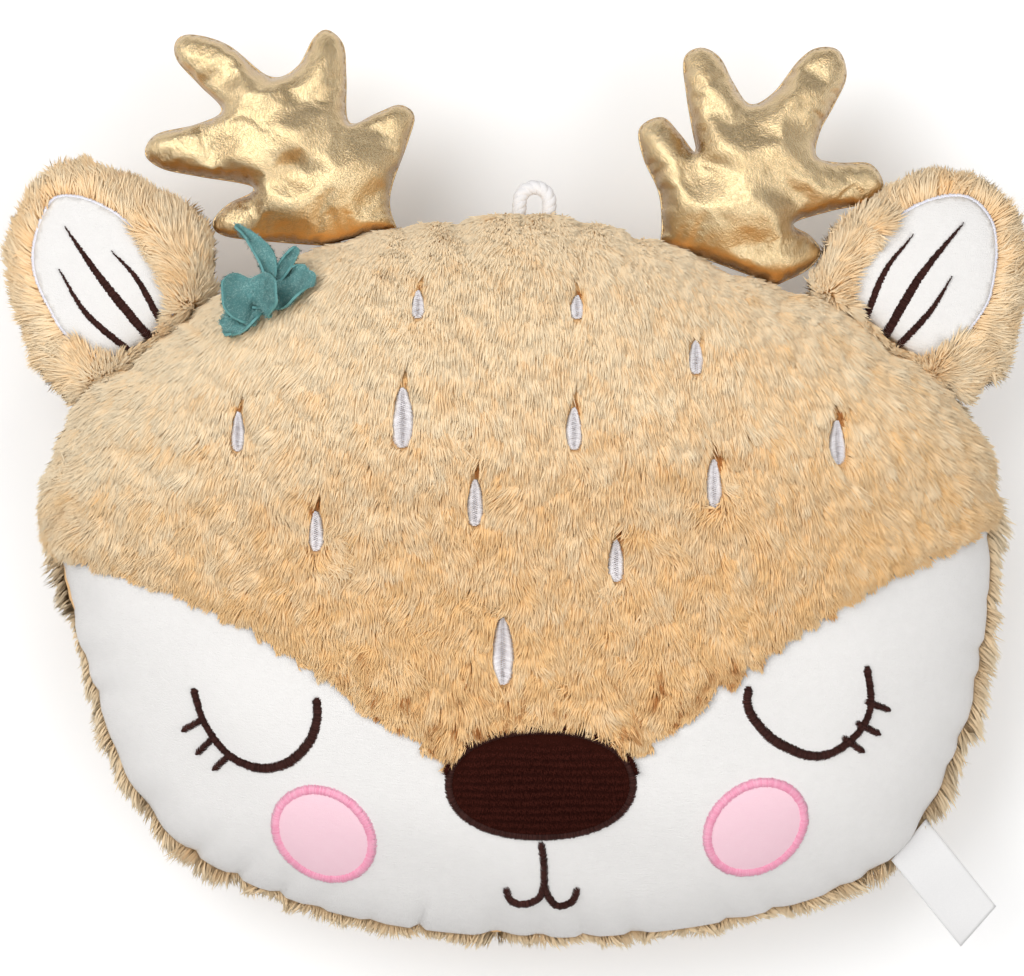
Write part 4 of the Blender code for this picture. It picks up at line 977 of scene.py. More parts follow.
def grow_brow_fur(brow):
    """The brow's pile: smooth and pale at the top, restless and darker below, parted over the spots,
    with a painted shadow in each parting.
    """
    roots, normals, dice = scatter(brow, BROW_ROOTS, seed=5)
    rim, outward, top = rim_of(roots, 0.84)
    across = roots[:, 0] / HEAD_HALF_WIDTH
    flow = np.tile((0.0, -1.0, 0.0), (len(roots), 1))
    flow[:, 0] = 0.75 * across * np.abs(across)
    flow = unit(flow) + (rim * (1 - top) * 0.7)[:, None] * outward
    high = smooth_share(roots[:, 1], 0.02, 0.09)
    low = smooth_share(-roots[:, 1], -0.05, 0.05)
    pale = smooth_share(roots[:, 1] - 0.5 * roots[:, 0], 0.02, 0.14)
    tones = 0.12 * rim + 0.20 * pale + 0.30 * high
    tones -= 0.36 * low - 0.07 * low * waves(roots, 0.0045, seed=62)
    tones -= 0.12 * smooth_share(roots[:, 0], 0.03, 0.13)
    unrest = 1.0 - 0.6 * high + 0.35 * low
    inside = smooth_share(above_brow(roots), 0.0, 0.014)
    tuft = 0.45 - 0.28 * smooth_share(roots[:, 1], 0.03, 0.10) - 0.25 * (1 - inside)
    length = 0.40 + 0.60 * inside
    length *= (1 - 0.35 * rim * top) * (1 - 0.15 * low)
    for centre, _, size in SPOTS:
        slit = (roots[:, :2] - slit_place(centre, size)) / SLIT_REACH
        near = np.exp(-(slit ** 2).sum(axis=1)) * smooth_share(centre[1], -0.03, 0.01)
        away = np.hypot(*(roots[:, :2] - centre).T)
        # Round each parting above a spot the fur's tone drops to the darkest brown: a painted shadow in
        # the parting.
        tones -= 1.0 * near
        length *= 1 - 0.60 * near - 0.22 * np.exp(-(away / DIMPLE_REACH) ** 2)
    grow_fur("forehead_fur", roots, normals, flow, dice, "head", length=length,
             upright=0.28 * rim * (1 - top) - 0.30 * high, tones=tones, kept=clear_of_sewing,
             unrest=unrest, tuft=tuft)


def grow_back_fur(back):
    """The back's pile: thick at the seam, where it shows beside the face, and thinner underneath."""
    roots, normals, dice = scatter(back, BACK_ROOTS, seed=6)
    rim, outward, top = rim_of(roots, 0.86)
    slope = smooth_share(normals[:, 2], -0.99, -0.90)
    chosen = dice.random(len(roots)) < 0.12 + 0.30 * slope + 0.58 * rim
    roots, normals, rim, outward, top = (each[chosen] for each in (roots, normals, rim, outward, top))
    flow = np.array((0.0, -1.0, 0.0)) * (1 - rim[:, None] * top[:, None])
    flow = flow + rim[:, None] * outward * (1.0 - 0.4 * top[:, None])
    flow[:, 2] += rim * (0.30 - 1.1 * top)
    side = 1 - smooth_share(-outward[:, 1], 0.45, 0.95)
    length = (0.72 + 0.30 * side + 0.16 * waves(roots, 0.03, seed=77)) * (1 - 0.40 * rim * top)
    thin = np.exp(-((roots[:, 1] + 0.020) / 0.013) ** 2) * (roots[:, 0] < 0) * rim ** 2
    length *= 1 - 0.7 * thin
    # Near the seam the fur takes the palest tones: painted light that lifts the fringe out of its
    # shade.
    grow_fur("back_fur", roots, normals, flow, dice, "head", length=length,
             upright=0.25 * rim * (1 - top), tones=0.7 * rim, kept=clear_of_sewn_in, tuft=0.4,
             fineness=0.85)


def rim_of(roots, start):
    """How near each root is to the seam, the way out from the middle there, and how much it is up."""
    shares = np.hypot(roots[:, 0], roots[:, 1]) / head_radius(np.arctan2(roots[:, 1], roots[:, 0]))
    outward = unit(np.stack([roots[:, 0], roots[:, 1], np.zeros(len(roots))], axis=1))
    return smooth_share(shares, start, 1.0), outward, smooth_share(outward[:, 1], 0.15, 0.75)


def give_wall(piece, thickness=CLOTH_WALL, offset=-1.0):
    """Thicken a cloth: inwards, or both ways with an offset of 0."""
    wall = piece.modifiers.new("wall", "SOLIDIFY")
    wall.thickness = thickness
    wall.offset = offset


def lay_stitches(surface, starts, ends, rise, dice):
    """Satin stitches over a surface, from one row of places to the other."""
    run = unit(ends - starts)
    starts = starts - run * dice.uniform(-0.3, 1.0, (len(starts), 1)) * THREAD_RAGGEDNESS
    ends = ends + run * dice.uniform(-0.3, 1.0, (len(ends), 1)) * THREAD_RAGGEDNESS
    ups = surface.normals((starts + ends) / 2)
    low, high = surface.points(starts), surface.points(ends)
    elbows = (low + high) / 2 + ups * (2 * rise)
    tones = dice.uniform(0.0, 1.0, len(starts))
    return plant(stitch_template(), low, elbows, high, ups, THREAD_WIDTH, THREAD_WIDTH, tones)


def rails(path, width, closed):
    """The two edges of a stroke along a path, of a constant or changing width."""
    if closed:
        ahead = unit(np.roll(path, -1, axis=0) - np.roll(path, 1, axis=0))
    else:
        ahead = unit(np.gradient(path, axis=0))
    side = np.stack([ahead[:, 1], -ahead[:, 0]], axis=1) * np.reshape(width, (-1, 1)) / 2
    return path - side, path + side


def stroke(surface, places, width, dice, closed=False, rise=STITCH_RISE, profile=(1.0, 1.0)):
    """A line of satin stitch through places, its width following a profile of shares."""
    line = curve_through(places, closed)
    path = even_points(line, int(run_length(line) / THREAD_PITCH))
    if closed:
        path = path[:-1]
    stops = np.linspace(0.0, 1.0, len(path))
    widths = width * np.interp(stops, np.linspace(0.0, 1.0, len(profile)), profile)
    if not closed:
        ends = np.minimum(np.arange(len(path)), np.arange(len(path))[::-1]) * THREAD_PITCH
        widths *= 0.55 + 0.45 * smooth_share(ends, 0.0, width * 0.4)
    left, right = rails(path, widths, closed)
    return lay_stitches(surface, left, right, rise, dice)


def merged(meshes):
    """One mesh from several."""
    whole = closed_up(opened(*meshes))
    for mesh in meshes:
        bpy.data.meshes.remove(mesh)
    return whole


def pad(surface, centre, half_width, half_height, squareness, tilt, dome):
    """A domed oval of cloth on a surface."""
    work = bmesh.new()
    bmesh.ops.create_grid(work, x_segments=44, y_segments=30, size=1.0)
    square = np.array([vertex.co[:2] for vertex in work.verts])
    disc = square * np.sqrt(1 - square[:, ::-1] ** 2 / 2)
    reach = np.hypot(*disc.T)
    angles = np.arctan2(disc[:, 1], disc[:, 0])
    corners = np.abs(np.cos(angles)) ** squareness + np.abs(np.sin(angles)) ** squareness
    disc = disc * (corners ** (-1 / squareness))[:, None] * (half_width, half_height)
    turn = math.radians(tilt)
    spin = np.array(((math.cos(turn), math.sin(turn)), (-math.sin(turn), math.cos(turn))))
    places = disc @ spin + centre
    raised = dome * (1 - np.clip(reach, 0.0, 1.0) ** 2.6) + PATCH_LIFT
    move_to(work.verts, surface.points(places) + surface.normals(places) * raised[:, None])
    return to_mesh(work)


def bordered_pad(name, surface, form, dome, finishes, border_width):
    """A velour patch and the satin border sewn round it."""
    centre, half_width, half_height, squareness, tilt = form
    reach = BORDER_GAP + border_width / 2
    form = (centre, half_width + reach, half_height + reach, squareness, tilt)
    piece = add_piece(f"{name}_pad", pad(surface, *form, dome), finishes[0], "head", [f"{name}_patch"])
    give_wall(piece, PATCH_WALL)
    dice = np.random.default_rng(len(name))
    border = stroke(surface, rounded_oval(*form, 72), border_width, dice, closed=True)
    add_piece(f"{name}_satin_border", border, finishes[1], "head", [f"{name}_border"])


def build_face(surface):
    """Nose, cheeks, eyes and mouth."""
    nose = (NOSE_PLACE, NOSE_HALF_WIDTH, NOSE_HALF_HEIGHT, NOSE_SQUARENESS, 0.0)
    bordered_pad("nose", surface, nose, NOSE_DOME, ("nose", "brown_thread"), BORDER_WIDTH)
    for name, share, tilt in (("left_cheek", LEFT_CHEEK_PLACE_SHARE, -CHEEK_TILT),
                              ("right_cheek", RIGHT_CHEEK_PLACE_SHARE, CHEEK_TILT)):
        cheek = (head_place(share), CHEEK_LONG_RADIUS, CHEEK_SHORT_RADIUS, 2.0, tilt)
        bordered_pad(name, surface, cheek, CHEEK_DOME, ("cheek", "pink_thread"), CHEEK_BORDER_WIDTH)
    dice = np.random.default_rng(12)
    build_nose_nap(surface, dice)
    for side, arc, lashes, profile in (
            ("left", LEFT_EYE_SHARES, LEFT_LASH_SHARES, EYE_STROKE_SHARES),
            ("right", RIGHT_EYE_SHARES, RIGHT_LASH_SHARES, EYE_STROKE_SHARES[::-1])):
        strokes = [stroke(surface, head_places(arc), EYE_STROKE, dice, profile=profile)]
        for lash in lashes:
            start, end = head_places(lash)
            strokes.append(stroke(surface, [start + LASH_ROOT * (start - end), end], LASH_STROKE, dice))
        add_piece(f"{side}_eye_satin", merged(strokes), "brown_thread", "head",
                  [f"{side}_eye_stitching"])
    top = NOSE_PLACE - (0.0, NOSE_HALF_HEIGHT + BORDER_GAP + BORDER_WIDTH + MOUTH_GAP / 2)
    strokes = [stroke(surface, [top, *head_places(MOUTH_STEM_SHARES)], MOUTH_STROKE, dice)]
    for curl in (MOUTH_LEFT_SHARES, MOUTH_RIGHT_SHARES):
        strokes.append(stroke(surface, head_places(curl), MOUTH_STROKE, dice))
    add_piece("mouth_satin", merged(strokes), "brown_thread", "head", ["mouth_stitching"])


def build_nose_nap(surface, dice):
    """The nose's own short pile, combed flat in rows, with a ragged upper edge over the fur."""
    half_sizes = np.array((NOSE_HALF_WIDTH, NOSE_HALF_HEIGHT))
    shares = dice.uniform(-1.0, 1.0, (NOSE_ROOTS, 2))
    shares = shares[(np.abs(shares) ** NOSE_SQUARENESS).sum(axis=1) < 1.0]
    fringe = dice.uniform(0.05, 0.95, NOSE_FRINGE_ROOTS) * math.pi
    edge = np.stack([np.cos(fringe), np.sin(fringe)], axis=1)
    edge = np.sign(edge) * np.abs(edge) ** (2 / NOSE_SQUARENESS)
    reach = BORDER_GAP + BORDER_WIDTH / 2
    places = NOSE_PLACE + np.concatenate((shares * half_sizes, edge * (half_sizes + reach * 1.5)))
    rim = np.arange(len(places)) >= len(shares)
    ups = surface.normals(places)
    dome = 1 - np.clip((np.abs(shares) ** NOSE_SQUARENESS).sum(axis=1), 0.0, 1.0) ** 1.2
    lifts = np.where(rim, STITCH_RISE, 0.0)
    lifts[:len(shares)] = NOSE_DOME * dome + 0.0003
    roots = surface.points(places) + ups * lifts[:, None]
    comb = np.tile((0.25, -1.0, 0.0), (len(rim), 1))
    comb[rim] = np.column_stack((unit(edge + (0.0, 0.6)), np.zeros(len(edge))))
    comb = unit(comb + 0.35 * dice.normal(size=comb.shape))
    rows = 0.30 * np.sin(roots[:, 1] / NOSE_ROW_PITCH + 0.8 * waves(roots, 0.02, seed=91))
    length = dice.uniform(*NOSE_FRINGE_LENGTHS, len(roots))
    length = np.where(rim, length, NOSE_NAP_LENGTH)[:, None]
    tips = roots + length * (comb * 0.8 + ups * np.where(rim, 0.35, 0.5)[:, None])
    elbows = roots + length * (comb * 0.25 + ups * 0.45)
    tones = np.clip(0.5 + rows + 0.2 * dice.normal(size=len(roots)), 0.0, 1.0)
    nap = plant(strand_template(), roots, elbows, tips, ups, NOSE_NAP_WIDTH, NOSE_NAP_THICKNESS,
                tones, ups)
    add_piece("nose_nap", nap, "nose_pile", "head")


def build_spots(surface):
    """Satin drops, each of two columns of thread that meet in a ridge."""
    for number, (centre, width, length) in enumerate(SPOTS, 1):
        dice = np.random.default_rng(100 + number)
        count = int(length / THREAD_PITCH)
        shares = (np.arange(count) + 0.5) / count
        half = spot_half_width(shares, width)
        up = centre[1] - length / 2 + length * shares
        slope = width * 0.10 * 4 * shares * (1 - shares)
        weave = SPOT_RIDGE_WEAVE * np.where(np.arange(count) % 2, 1.0, -1.0)
        columns = []
        for way in (-1.0, 1.0):
            edge = np.stack([centre[0] + way * half, up - slope], axis=1)
            ridge = np.stack([centre[0] + weave - way * 0.0002, up + slope], axis=1)
            columns.append(lay_stitches(surface, edge, ridge, STITCH_RISE * 0.9, dice))
        name = f"spot_{number:02d}"
        add_piece(f"{name}_satin", merged(columns), "lilac_thread", "head", [name])


def limb_frame(joint_name):
    """Where a limb's own frame stands: X along its seam, Y out from the head, Z up."""
    joint = next(joint for joint in frame["joints"] if joint["name"] == joint_name)
    along = Vector(joint["axis"]).normalized()
    out = Vector((0.0, 0.0, 1.0)).cross(along)
    turn = Matrix((along, out, (0.0, 0.0, 1.0))).transposed()
    return Matrix.Translation(joint["pos_m"]) @ turn.to_4x4()


def bag_outline(shares, half_width, length, facet):
    """The rim of a bag in its own frame, counter-clockwise, its sewn edge last."""
    line = curve_through(shares, closed=False) * (half_width, length) + (0.0, SEWN_EDGE_REACH)
    line[:, 1] = np.maximum(line[:, 1], SEWN_EDGE_REACH)
    side = even_points(line, round(run_length(line) / facet) + 1)
    base = np.array((side[-1], side[0]))
    base = even_points(base, max(2, round(run_length(base) / facet)) + 1)
    return np.concatenate((side, base[1:-1]))[::-1]


def blown_up(count, edge, triangles):
    """Heights from 0 to 1 of a skin stretched over an outline and blown up evenly."""
    corners = np.array([list(triangle) for triangle in triangles])
    both_ways = np.concatenate((corners, corners[:, ::-1]), axis=0)
    one = both_ways.ravel()
    two = np.roll(both_ways, -1, axis=1).ravel()
    degree = np.maximum(np.bincount(one, minlength=count), 1)
    heights = np.zeros(count)
    for _ in range(1500):
        heights = np.bincount(one, weights=heights[two], minlength=count) / degree + 1.0
        heights[:edge] = 0.0
    return heights / heights.max()


def seam_wrinkles(outline, places, away):
    """Creases that run in from the seam, from about -1 to 1, and die out inwards."""
    steps = np.concatenate(([0.0], np.cumsum(np.linalg.norm(np.diff(outline, axis=0), axis=1))))
    spans = np.linalg.norm(places[:, None, :] - outline[None, :, :], axis=2)
    along = steps[np.argmin(spans, axis=1)]
    sharp = np.sin(along / 0.0009 + 2.0 * waves(along[:, None], 0.030, seed=17))
    amount = 0.35 + 0.6 * waves(along[:, None], 0.022, seed=18)
    return sharp * np.clip(amount, 0.0, 1.2) * np.exp(-(away / 0.008) ** 2)


def bag_mesh(outline, facet, swell, wrinkle=0.0, roll=0.0):
    """A closed pillow over an outline, whose points come first and hold both cloths."""
    low, high = outline.min(axis=0), outline.max(axis=0)
    rows = np.arange(low[1], high[1], facet * math.sin(math.pi / 3))
    lattice = []
    for row, height in enumerate(rows):
        starts = np.arange(low[0] + facet / 2 * (row % 2), high[0], facet)
        lattice.append(np.stack([starts, np.full(len(starts), height)], axis=1))
    lattice = np.concatenate(lattice)
    kept = contains(outline, lattice) & (distance_to(outline, lattice) > 0.55 * facet)
    places = np.concatenate((outline, lattice[kept]))
    edge = len(outline)
    rim = [(index, (index + 1) % edge) for index in range(edge)]
    found = delaunay_2d_cdt([Vector(place) for place in places], rim, [], 1, 1e-6)
    places = np.array([tuple(place) for place in found[0]])
    away = distance_to(outline, places)
    away[:edge] = 0.0
    blown = np.sqrt(blown_up(len(places), edge, found[2]))
    heights = swell * np.tanh(BAG_TIGHTNESS * blown) / math.tanh(BAG_TIGHTNESS)
    heights *= 1 + roll * (waves(places, 0.024, seed=23) + 0.16 * waves(places, 0.010, seed=24))
    heights += wrinkle * seam_wrinkles(outline, places, away) * np.minimum(blown * 3, 1.0)
    work = bmesh.new()
    front = [work.verts.new((*place, height)) for place, height in zip(places, heights)]
    under = zip(places[edge:], heights[edge:])
    back = front[:edge] + [work.verts.new((*place, -height)) for place, height in under]
    for triangle in found[2]:
        work.faces.new([front[corner] for corner in triangle])
        if any(corner >= edge for corner in triangle):
            work.faces.new([back[corner] for corner in reversed(triangle)])
    return to_mesh(work)


def puff(mesh, edge):
    """Blow a bag up as cloth, its rim held, with spare cloth that the seam gathers into creases."""
    bag = linked("bag", mesh)
    held = bag.vertex_groups.new(name="held")
    held.add(list(range(edge)), 1.0, "REPLACE")
    cloth = bag.modifiers.new("cloth", "CLOTH")
    settings = cloth.settings
    settings.quality = 6
    settings.mass = 0.15
    settings.tension_stiffness = settings.compression_stiffness = 18.0
    settings.shear_stiffness = 8.0
    settings.bending_stiffness = 0.05
    settings.use_pressure = True
    settings.uniform_pressure_force = CLOTH_PRESSURE
    settings.vertex_group_mass = "held"
    settings.shrink_min = -CLOTH_SPARE
    settings.effector_weights.gravity = 0.0
    cloth.collision_settings.use_collision = False
    cloth.point_cache.frame_start = 1
    cloth.point_cache.frame_end = CLOTH_STEPS
    before = rows_of(mesh.vertices, "co")
    for step in range(1, CLOTH_STEPS + 1):
        bpy.context.scene.frame_set(step)
    puffed = applied(bag)
    bpy.context.scene.frame_set(1)
    moved = rows_of(puffed.vertices, "co") - before
    far = np.linalg.norm(moved, axis=1, keepdims=True)
    move_to(puffed.vertices, before + moved * np.minimum(1.0, CLOTH_CAP / np.maximum(far, 1e-9)))
    return puffed


def build_antler(side, shares):
    """A crisp lame bag with creases along its seam, and the raised seam itself."""
    place = limb_frame(f"{side}_antler_bend")
    outline = bag_outline(shares, ANTLER_HALF_WIDTH, ANTLER_LENGTH, ANTLER_FACET)
    mesh = bag_mesh(outline, ANTLER_FACET, ANTLER_SWELL, wrinkle=ANTLER_CREASE, roll=ANTLER_ROLL)
    mesh = puff(mesh, len(outline))
    mesh.transform(place)
    nodes = [f"{side}_antler_{part}" for part in ("front", "back", "filling")]
    piece = add_piece(f"{side}_antler_lame", mesh, "lame", f"{side}_antler", nodes)
    smooth_out(piece)
    inner, _ = rails(outline, ANTLER_SEAM_INSET, closed=True)
    seam = tube([place @ Vector((*spot, 0.0)) for spot in inner], ANTLER_SEAM_RADIUS, 1, closed=True)
    add_piece(f"{side}_antler_seam", seam, "lame", f"{side}_antler")


def smooth_out(piece):
    """One level of subdivision, live on the piece."""
    smoother = piece.modifiers.new("smoother", "SUBSURF")
    smoother.levels = smoother.render_levels = 1


def build_ear(side, shares, lining_shares, stripe_shares):
    """A furry bag with a white lining, its satin edge and three stripes."""
    body = f"{side}_ear"
    place = limb_frame(f"{side}_ear_bend")
    outline = bag_outline(shares, EAR_HALF_WIDTH, EAR_LENGTH, EAR_FACET)
    bag = bag_mesh(outline, EAR_FACET, EAR_SWELL)
    surface = Surface(bag)
    scale = np.array((EAR_HALF_WIDTH, EAR_LENGTH))
    lining_line = curve_through(lining_shares, closed=True) * scale
    lining_rim = even_points(lining_line, int(run_length(lining_line) / LINING_STEP))[:-1][::-1]
    if signed_area(lining_rim) < 0:
        lining_rim = lining_rim[::-1]
    dice = grow_ear_fur(side, bag, outline, lining_rim, place)

    lining = flat_cloth(lining_rim, LINING_FACET, surface, LINING_LIFT)
    lining.transform(place)
    piece = add_piece(f"{side}_ear_velour", lining, "velour", body, [f"{side}_ear_lining"])
    give_wall(piece, PATCH_WALL)

    edge = stroke(surface, lining_rim[::3], EAR_PIPING_WIDTH, dice, closed=True)
    edge.transform(place)
    add_piece(f"{side}_ear_satin_edge", edge, "piping_thread", body, [f"{side}_ear_piping"])

    for name, path, fullness in zip(("left", "middle", "right"), stripe_shares, STRIPE_FULLNESS_SHARES):
        profile = [fullness * share for share in EAR_STRIPE_SHARES]
        stripe = stroke(surface, [np.array(point) * scale for point in path], EAR_STRIPE_WIDTH, dice,
                        rise=EAR_STRIPE_RISE, profile=profile)
        stripe.transform(place)
        add_piece(f"{side}_ear_{name}_satin_stripe", stripe, "brown_thread", body,
                  [f"{side}_ear_{name}_stripe"])

    bag.transform(place)
    nodes = [f"{side}_ear_{part}" for part in ("front", "back", "padding")]
    piece = add_piece(f"{side}_ear_backing", bag, "backing", body, nodes)


def grow_ear_fur(side, bag, outline, lining_rim, place):
    """The ear's pile, which fans out from its foot and leaves the lining in view."""
    roots, normals, dice = scatter(bag, EAR_ROOTS, seed=70 + len(side))
    width, reach = EAR_HALF_WIDTH, EAR_LENGTH
    rise = np.maximum(roots[:, 1] / reach - 0.25, -0.06)
    outward = np.stack([roots[:, 0] / width, rise, np.zeros(len(roots))], axis=1)
    rim = smooth_share(0.008 - distance_to(outline, roots[:, :2]), 0.0, 0.008)
    inner = 1.0 if side == "left" else -1.0

    def overlap(feet):
        """Where the fur comes over the lining's edge: on its inner side, and along its foot."""
        beside = smooth_share(inner * feet[:, 0] / width, 0.1, 0.4)
        beside = beside * (1 - smooth_share(feet[:, 1] / reach, 0.42, 0.60))
        return np.maximum(beside, 1 - smooth_share(feet[:, 1] / reach, 0.14, 0.30))

    from_lining = distance_to(lining_rim, roots[:, :2])
    near = np.exp(-(from_lining / 0.009) ** 2) * overlap(roots) * (roots[:, 2] > 0)
    inward = np.column_stack((lining_rim.mean(axis=0) - roots[:, :2], np.zeros(len(roots))))
    flow = unit(outward) + (0.0, 0.15, 0.0)
    flow = flow * (1 - near[:, None]) + unit(inward) * near[:, None]
    flow[:, 1] += 3.6 * near * (1 - near)
    turned = np.array(place.to_3x3())
    middle = np.array(place.translation)

    def off_lining(feet, _, tips):
        """Which hairs leave the lining in view, but for the few that come over its edge."""
        feet, tips = ((each - middle) @ turned for each in (feet, tips))
        covered = contains(lining_rim, feet[:, :2]) & (distance_to(lining_rim, feet[:, :2]) > 0.0008)
        depth = distance_to(lining_rim, tips[:, :2])
        deep = contains(lining_rim, tips[:, :2]) & (depth > 0.0012 + 0.0034 * overlap(feet))
        return ~((feet[:, 2] > 0) & (covered | deep))

    foot = 1 - smooth_share(roots[:, 1] / reach, 0.02, 0.26)
    foot *= smooth_share(from_lining, 0.004, 0.010)
    # The foot's paler tone is painted light, lifting the shade deep among its hairs.
    grow_fur(f"{side}_ear_fur", roots @ turned.T + middle, normals @ turned.T, flow @ turned.T, dice,
             f"{side}_ear", length=1.12 * (1 - 0.45 * foot),
             upright=0.30 * rim * (1 - foot) - 0.12 - 0.10 * foot, tones=0.22 + 0.12 * foot,
             kept=off_lining, tuft=0.35 * (1 - foot), fineness=1.05)
    return dice


def signed_area(outline):
    after = np.roll(outline, -1, axis=0)
    return float((outline[:, 0] * after[:, 1] - after[:, 0] * outline[:, 1]).sum() / 2)


def flat_cloth(outline, facet, surface, lift):
    """A cloth of even facets within an outline, laid on a surface."""
    work = opened(bag_mesh(outline, facet, 1.0))
    under = [vertex for vertex in work.verts if vertex.co.z < -1e-9]
    bmesh.ops.delete(work, geom=under, context="VERTS")
    places = np.array([vertex.co[:2] for vertex in work.verts])
    move_to(work.verts, surface.points(places) + (0.0, 0.0, lift))
    return closed_up(work)


def petal(off_cloth, path, width, cup, twist, notch, ruffle, taper):
    """A felt petal cut from a flat piece, along a bent path, cupped, notched and ruffled."""
    root, middle, tip = (np.array(point) * FLOWER_SIZE for point in path)
    twist = math.radians(twist)
    half = width * FLOWER_SIZE / 2
    work = bmesh.new()
    bmesh.ops.create_grid(work, x_segments=14, y_segments=20, size=1.0)
    for vertex in work.verts:
        across, along = vertex.co.x, (vertex.co.y + 1) / 2
        cut = notch * (1 - abs(across)) ** 1.3 * along ** 4
        share = along * (1 - cut - 0.16 * across ** 4 * along ** 6)
        spine = (1 - share) ** 2 * root + 2 * share * (1 - share) * middle + share ** 2 * tip
        ahead = unit((1 - share) * (middle - root) + share * (tip - middle))
        level = unit(np.cross(ahead, (0.0, 0.0, 1.0)))
        side = level * math.cos(twist) + np.cross(ahead, level) * math.sin(twist)
        up = np.cross(side, ahead)
        spread = half * (0.34 + 0.66 * float(smooth_share(along, 0.0, 0.55))) * (1 - taper * along ** 2)
        wave = ruffle * FLOWER_SIZE * math.sin(9 * along + 2.0 * across)
        lift = cup * half * across ** 2 + wave * across ** 2
        vertex.co = off_cloth(spine + side * spread * across + up * lift)
    return closed_up(work)


def build_flower(surface):
    """Five felt petals stitched to the brow."""
    place = head_place(FLOWER_PLACE_SHARE)
    normal = surface.normals([place])[0]
    root = surface.point(place) + normal * FLOWER_LIFT

    def off_cloth(point):
        slope = -(normal[0] * point[0] + normal[1] * point[1]) / normal[2]
        return root + (point[0], point[1], point[2] + 0.6 * slope)

    felt = merged([petal(off_cloth, row[:3], *row[3:]) for row in PETAL_SHARES])
    felt.update()
    feet, faced, dice = scatter(felt, FELT_ROOTS, seed=44)
    faced = faced * np.where(dice.random(len(feet)) < 0.5, 1.0, -1.0)[:, None]
    feet = feet + faced * PETAL_THICKNESS / 2
    lean = unit(faced * 0.8 + 0.8 * dice.normal(size=feet.shape))
    ends = feet + lean * (FELT_PILE_LENGTH * dice.uniform(0.5, 1.1, len(feet)))[:, None]
    bends = (feet + ends) / 2 + faced * FELT_PILE_LENGTH * 0.15
    tones = 0.45 + 0.2 * waves(feet, 0.004, seed=45) + 0.3 * dice.normal(size=len(feet))
    pile = plant(strand_template(), feet, bends, ends, faced, FELT_PILE_WIDTH, FELT_PILE_THICKNESS,
                 tones, faced)
    add_piece("flower_pile", pile, "felt_pile", "head")

    spokes = np.linspace(0.0, math.pi, 5, endpoint=False)
    reach = KNOT_REACH * np.stack([np.cos(spokes), np.sin(spokes)], axis=1)
    stitches = lay_stitches(surface, place - reach, place + reach, FLOWER_LIFT * 0.45, dice)
    add_piece("flower_stitches", stitches, "felt_pile", "head", ["flower_knot"])

    piece = add_piece("flower_felt", felt, "felt", "head", ["flower"])
    give_wall(piece, PETAL_THICKNESS, offset=0.0)
    rounding = piece.modifiers.new("rounding", "BEVEL")
    rounding.width = PETAL_ROUNDING
    rounding.segments = 2
    smooth_out(piece)


def build_loop():
    """The hanging loop, yarns of cotton twisted together."""
    place = limb_frame("hanging_loop_flop")
    foot = SEWN_EDGE_REACH + LOOP_STRAIGHT
    route = [(-LOOP_HALF_SPAN, -LOOP_SEWN_IN)]
    for share in np.linspace(1.0, 0.0, 15):
        angle = math.pi * share
        route.append((LOOP_HALF_SPAN * math.cos(angle), foot + LOOP_HALF_SPAN * math.sin(angle)))
    route.append((LOOP_HALF_SPAN, -LOOP_SEWN_IN))
    line = even_points(curve_through(route, closed=False), 90)
    length = run_length(line)
    ahead = unit(np.gradient(line, axis=0))
    side = np.stack([-ahead[:, 1], ahead[:, 0]], axis=1)
    shares = np.linspace(0.0, 1.0, len(line))
    radius = LOOP_CORD_DIAMETER * LOOP_YARN_OFFSET_SHARE
    yarns = []
    for yarn in range(LOOP_YARNS):
        turn = 2 * math.pi * (shares * length / LOOP_TWIST_LENGTH + yarn / LOOP_YARNS)
        beside = side * (radius * np.cos(turn))[:, None]
        points = np.column_stack((line + beside, radius * np.sin(turn)))
        yarns.append(tube(points, LOOP_CORD_DIAMETER * LOOP_YARN_RADIUS_SHARE, 3))
    mesh = merged(yarns)
    mesh.transform(place)
    path = [place @ Vector((x, y, 0.0)) for x, y in line]
    piece = add_piece("hanging_cord", mesh, "cord", "hanging_loop", ["hanging_loop"])
    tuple(path[0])


def tube(points, radius, fineness, closed=False):
    """A tube through points, made by sweeping a curve's round section, with its ends capped."""
    data = bpy.data.curves.new("tube", "CURVE")
    data.dimensions = "3D"
    data.bevel_depth = radius
    data.bevel_resolution = fineness
    data.use_fill_caps = not closed
    spline = data.splines.new("POLY")
    spline.points.add(len(points) - 1)
    for point, at in zip(spline.points, points):
        point.co = (*at, 1.0)
    spline.use_cyclic_u = closed
    return applied(linked("tube", data))


def build_label():
    """The bare satin ribbon, sewn in by one end and gently curled."""
    place = limb_frame("label_flap")
    lean = math.tan(math.radians(LABEL_LEAN))
    work = bmesh.new()
    bmesh.ops.create_grid(work, x_segments=16, y_segments=34, size=1.0)
    for vertex in work.verts:
        across, share = vertex.co.x, (vertex.co.y + 1) / 2
        out = SEWN_EDGE_REACH - LABEL_SEWN_IN + LABEL_LENGTH * share
        drop = LABEL_DROOP * share ** 2
        curl = LABEL_CURL * math.sin(3.4 * share + 0.6) * across + LABEL_CUP * across ** 2 * (1 - share)
        wave = LABEL_WAVE * math.sin(7.0 * share + across)
        vertex.co = (lean * LABEL_LENGTH * share + LABEL_WIDTH / 2 * across, out, curl + wave - drop)
    mesh = closed_up(work)
    mesh.transform(place)
    piece = add_piece("label_ribbon", mesh, "ribbon", "label", ["label"])
    give_wall(piece, LABEL_THICKNESS, offset=0.0)


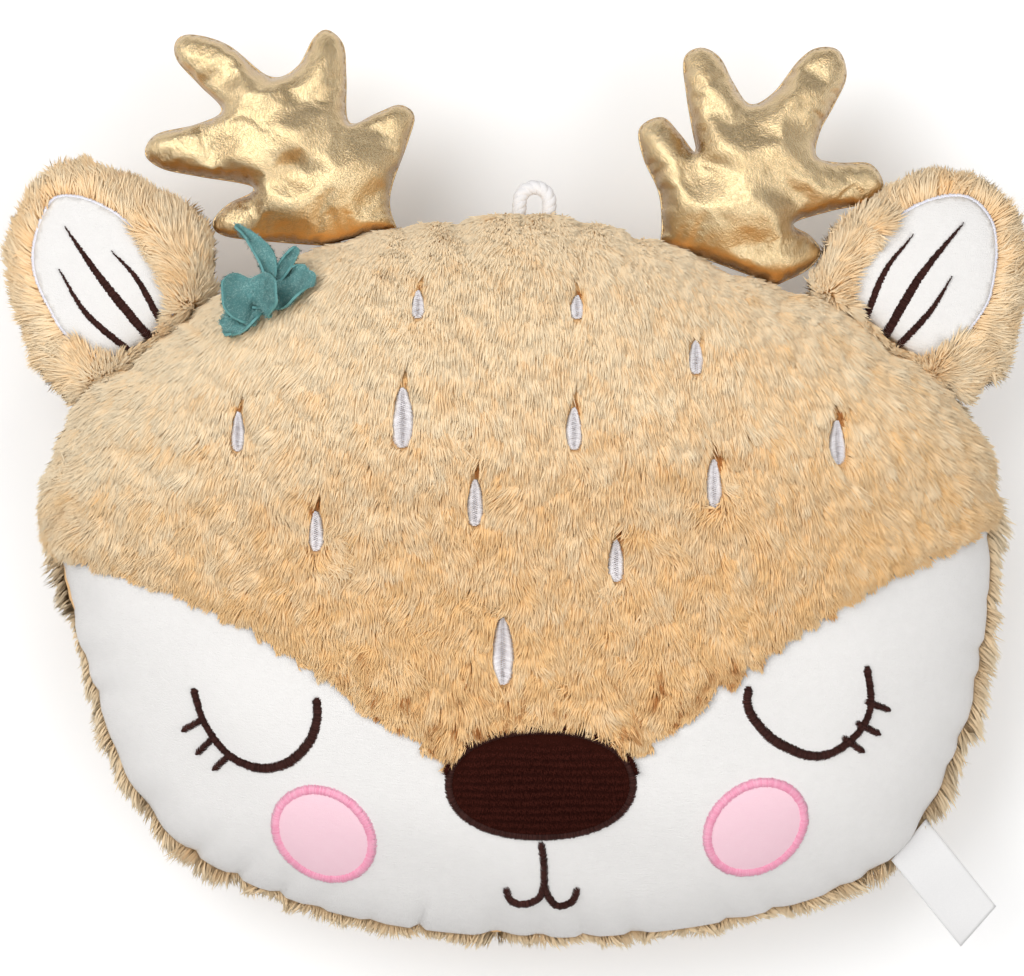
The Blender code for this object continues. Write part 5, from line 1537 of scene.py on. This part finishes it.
def build_studio():
    """A plain pale floor under soft light from above."""
    work = bmesh.new()
    bmesh.ops.create_grid(work, x_segments=1, y_segments=1, size=FLOOR_HALF_WIDTH)
    floor = linked("floor", closed_up(work))
    surface = Finish("pale_floor", roughness=1.0)
    seen = [surface.node("LightPath", output=ray) for ray in (CAMERA_RAY, GLOSSY_RAY, TRANSMISSION_RAY)]
    seen = (seen[0] + seen[1] + seen[2]).clamped()
    surface.set("Base Color", surface.colours(seen, (0.78, 0.78, 0.78), (1.0, 1.0, 1.0)))
    surface.set("Emission Color", surface.colours(seen, (0.0, 0.0, 0.0), (1.0, 1.0, 1.0)))
    surface.set("Emission Strength", FLOOR_GLOW)
    floor.data.materials.append(surface.material)
    for name, place, size, power in LAMPS:
        data = bpy.data.lights.new(name, "AREA")
        data.size = size
        data.energy = power
        lamp = linked(name, data)
        lamp.location = place
        ahead = Vector(LAMP_TARGET) - Vector(place)
        lamp.rotation_euler = ahead.to_track_quat("-Z", "Y").to_euler()
    bpy.context.scene.world = soft_sky()
    bpy.context.scene.view_settings.view_transform = "Standard"


def soft_sky():
    """White light that is brightest half way up, and dimmer overhead and at the horizon."""
    world = bpy.data.worlds.new("studio")
    world.use_nodes = True
    sky = Sheet(world.node_tree)
    height = sky.node("SeparateXYZ", {}, {0: sky.node("TexCoord")}, output=2)

    def rise(start, end):
        values = {"Value": height, "From Min": start, "From Max": end}
        return sky.node("MapRange", {"interpolation_type": "SMOOTHSTEP"}, values)

    light = rise(0.30, 0.80) * SKY_RING - rise(0.84, 0.95) * SKY_DIP + SKY_LOW
    background = world.node_tree.nodes["Background"].inputs
    background["Color"].default_value = (1.0, 1.0, 1.0, 1.0)
    world.node_tree.links.new(light.socket, background["Strength"])
    return world


def main():
    make_camera()
    build_loop()
    build_label()
    surface = build_head()
    build_face(surface)
    build_spots(surface)
    build_ear("left", LEFT_EAR_SHARES, LEFT_LINING_SHARES, LEFT_STRIPE_SHARES)
    build_ear("right", RIGHT_EAR_SHARES, RIGHT_LINING_SHARES, RIGHT_STRIPE_SHARES)
    build_antler("left", LEFT_ANTLER_SHARES)
    build_antler("right", RIGHT_ANTLER_SHARES)
    build_flower(surface)
    build_studio()


main()
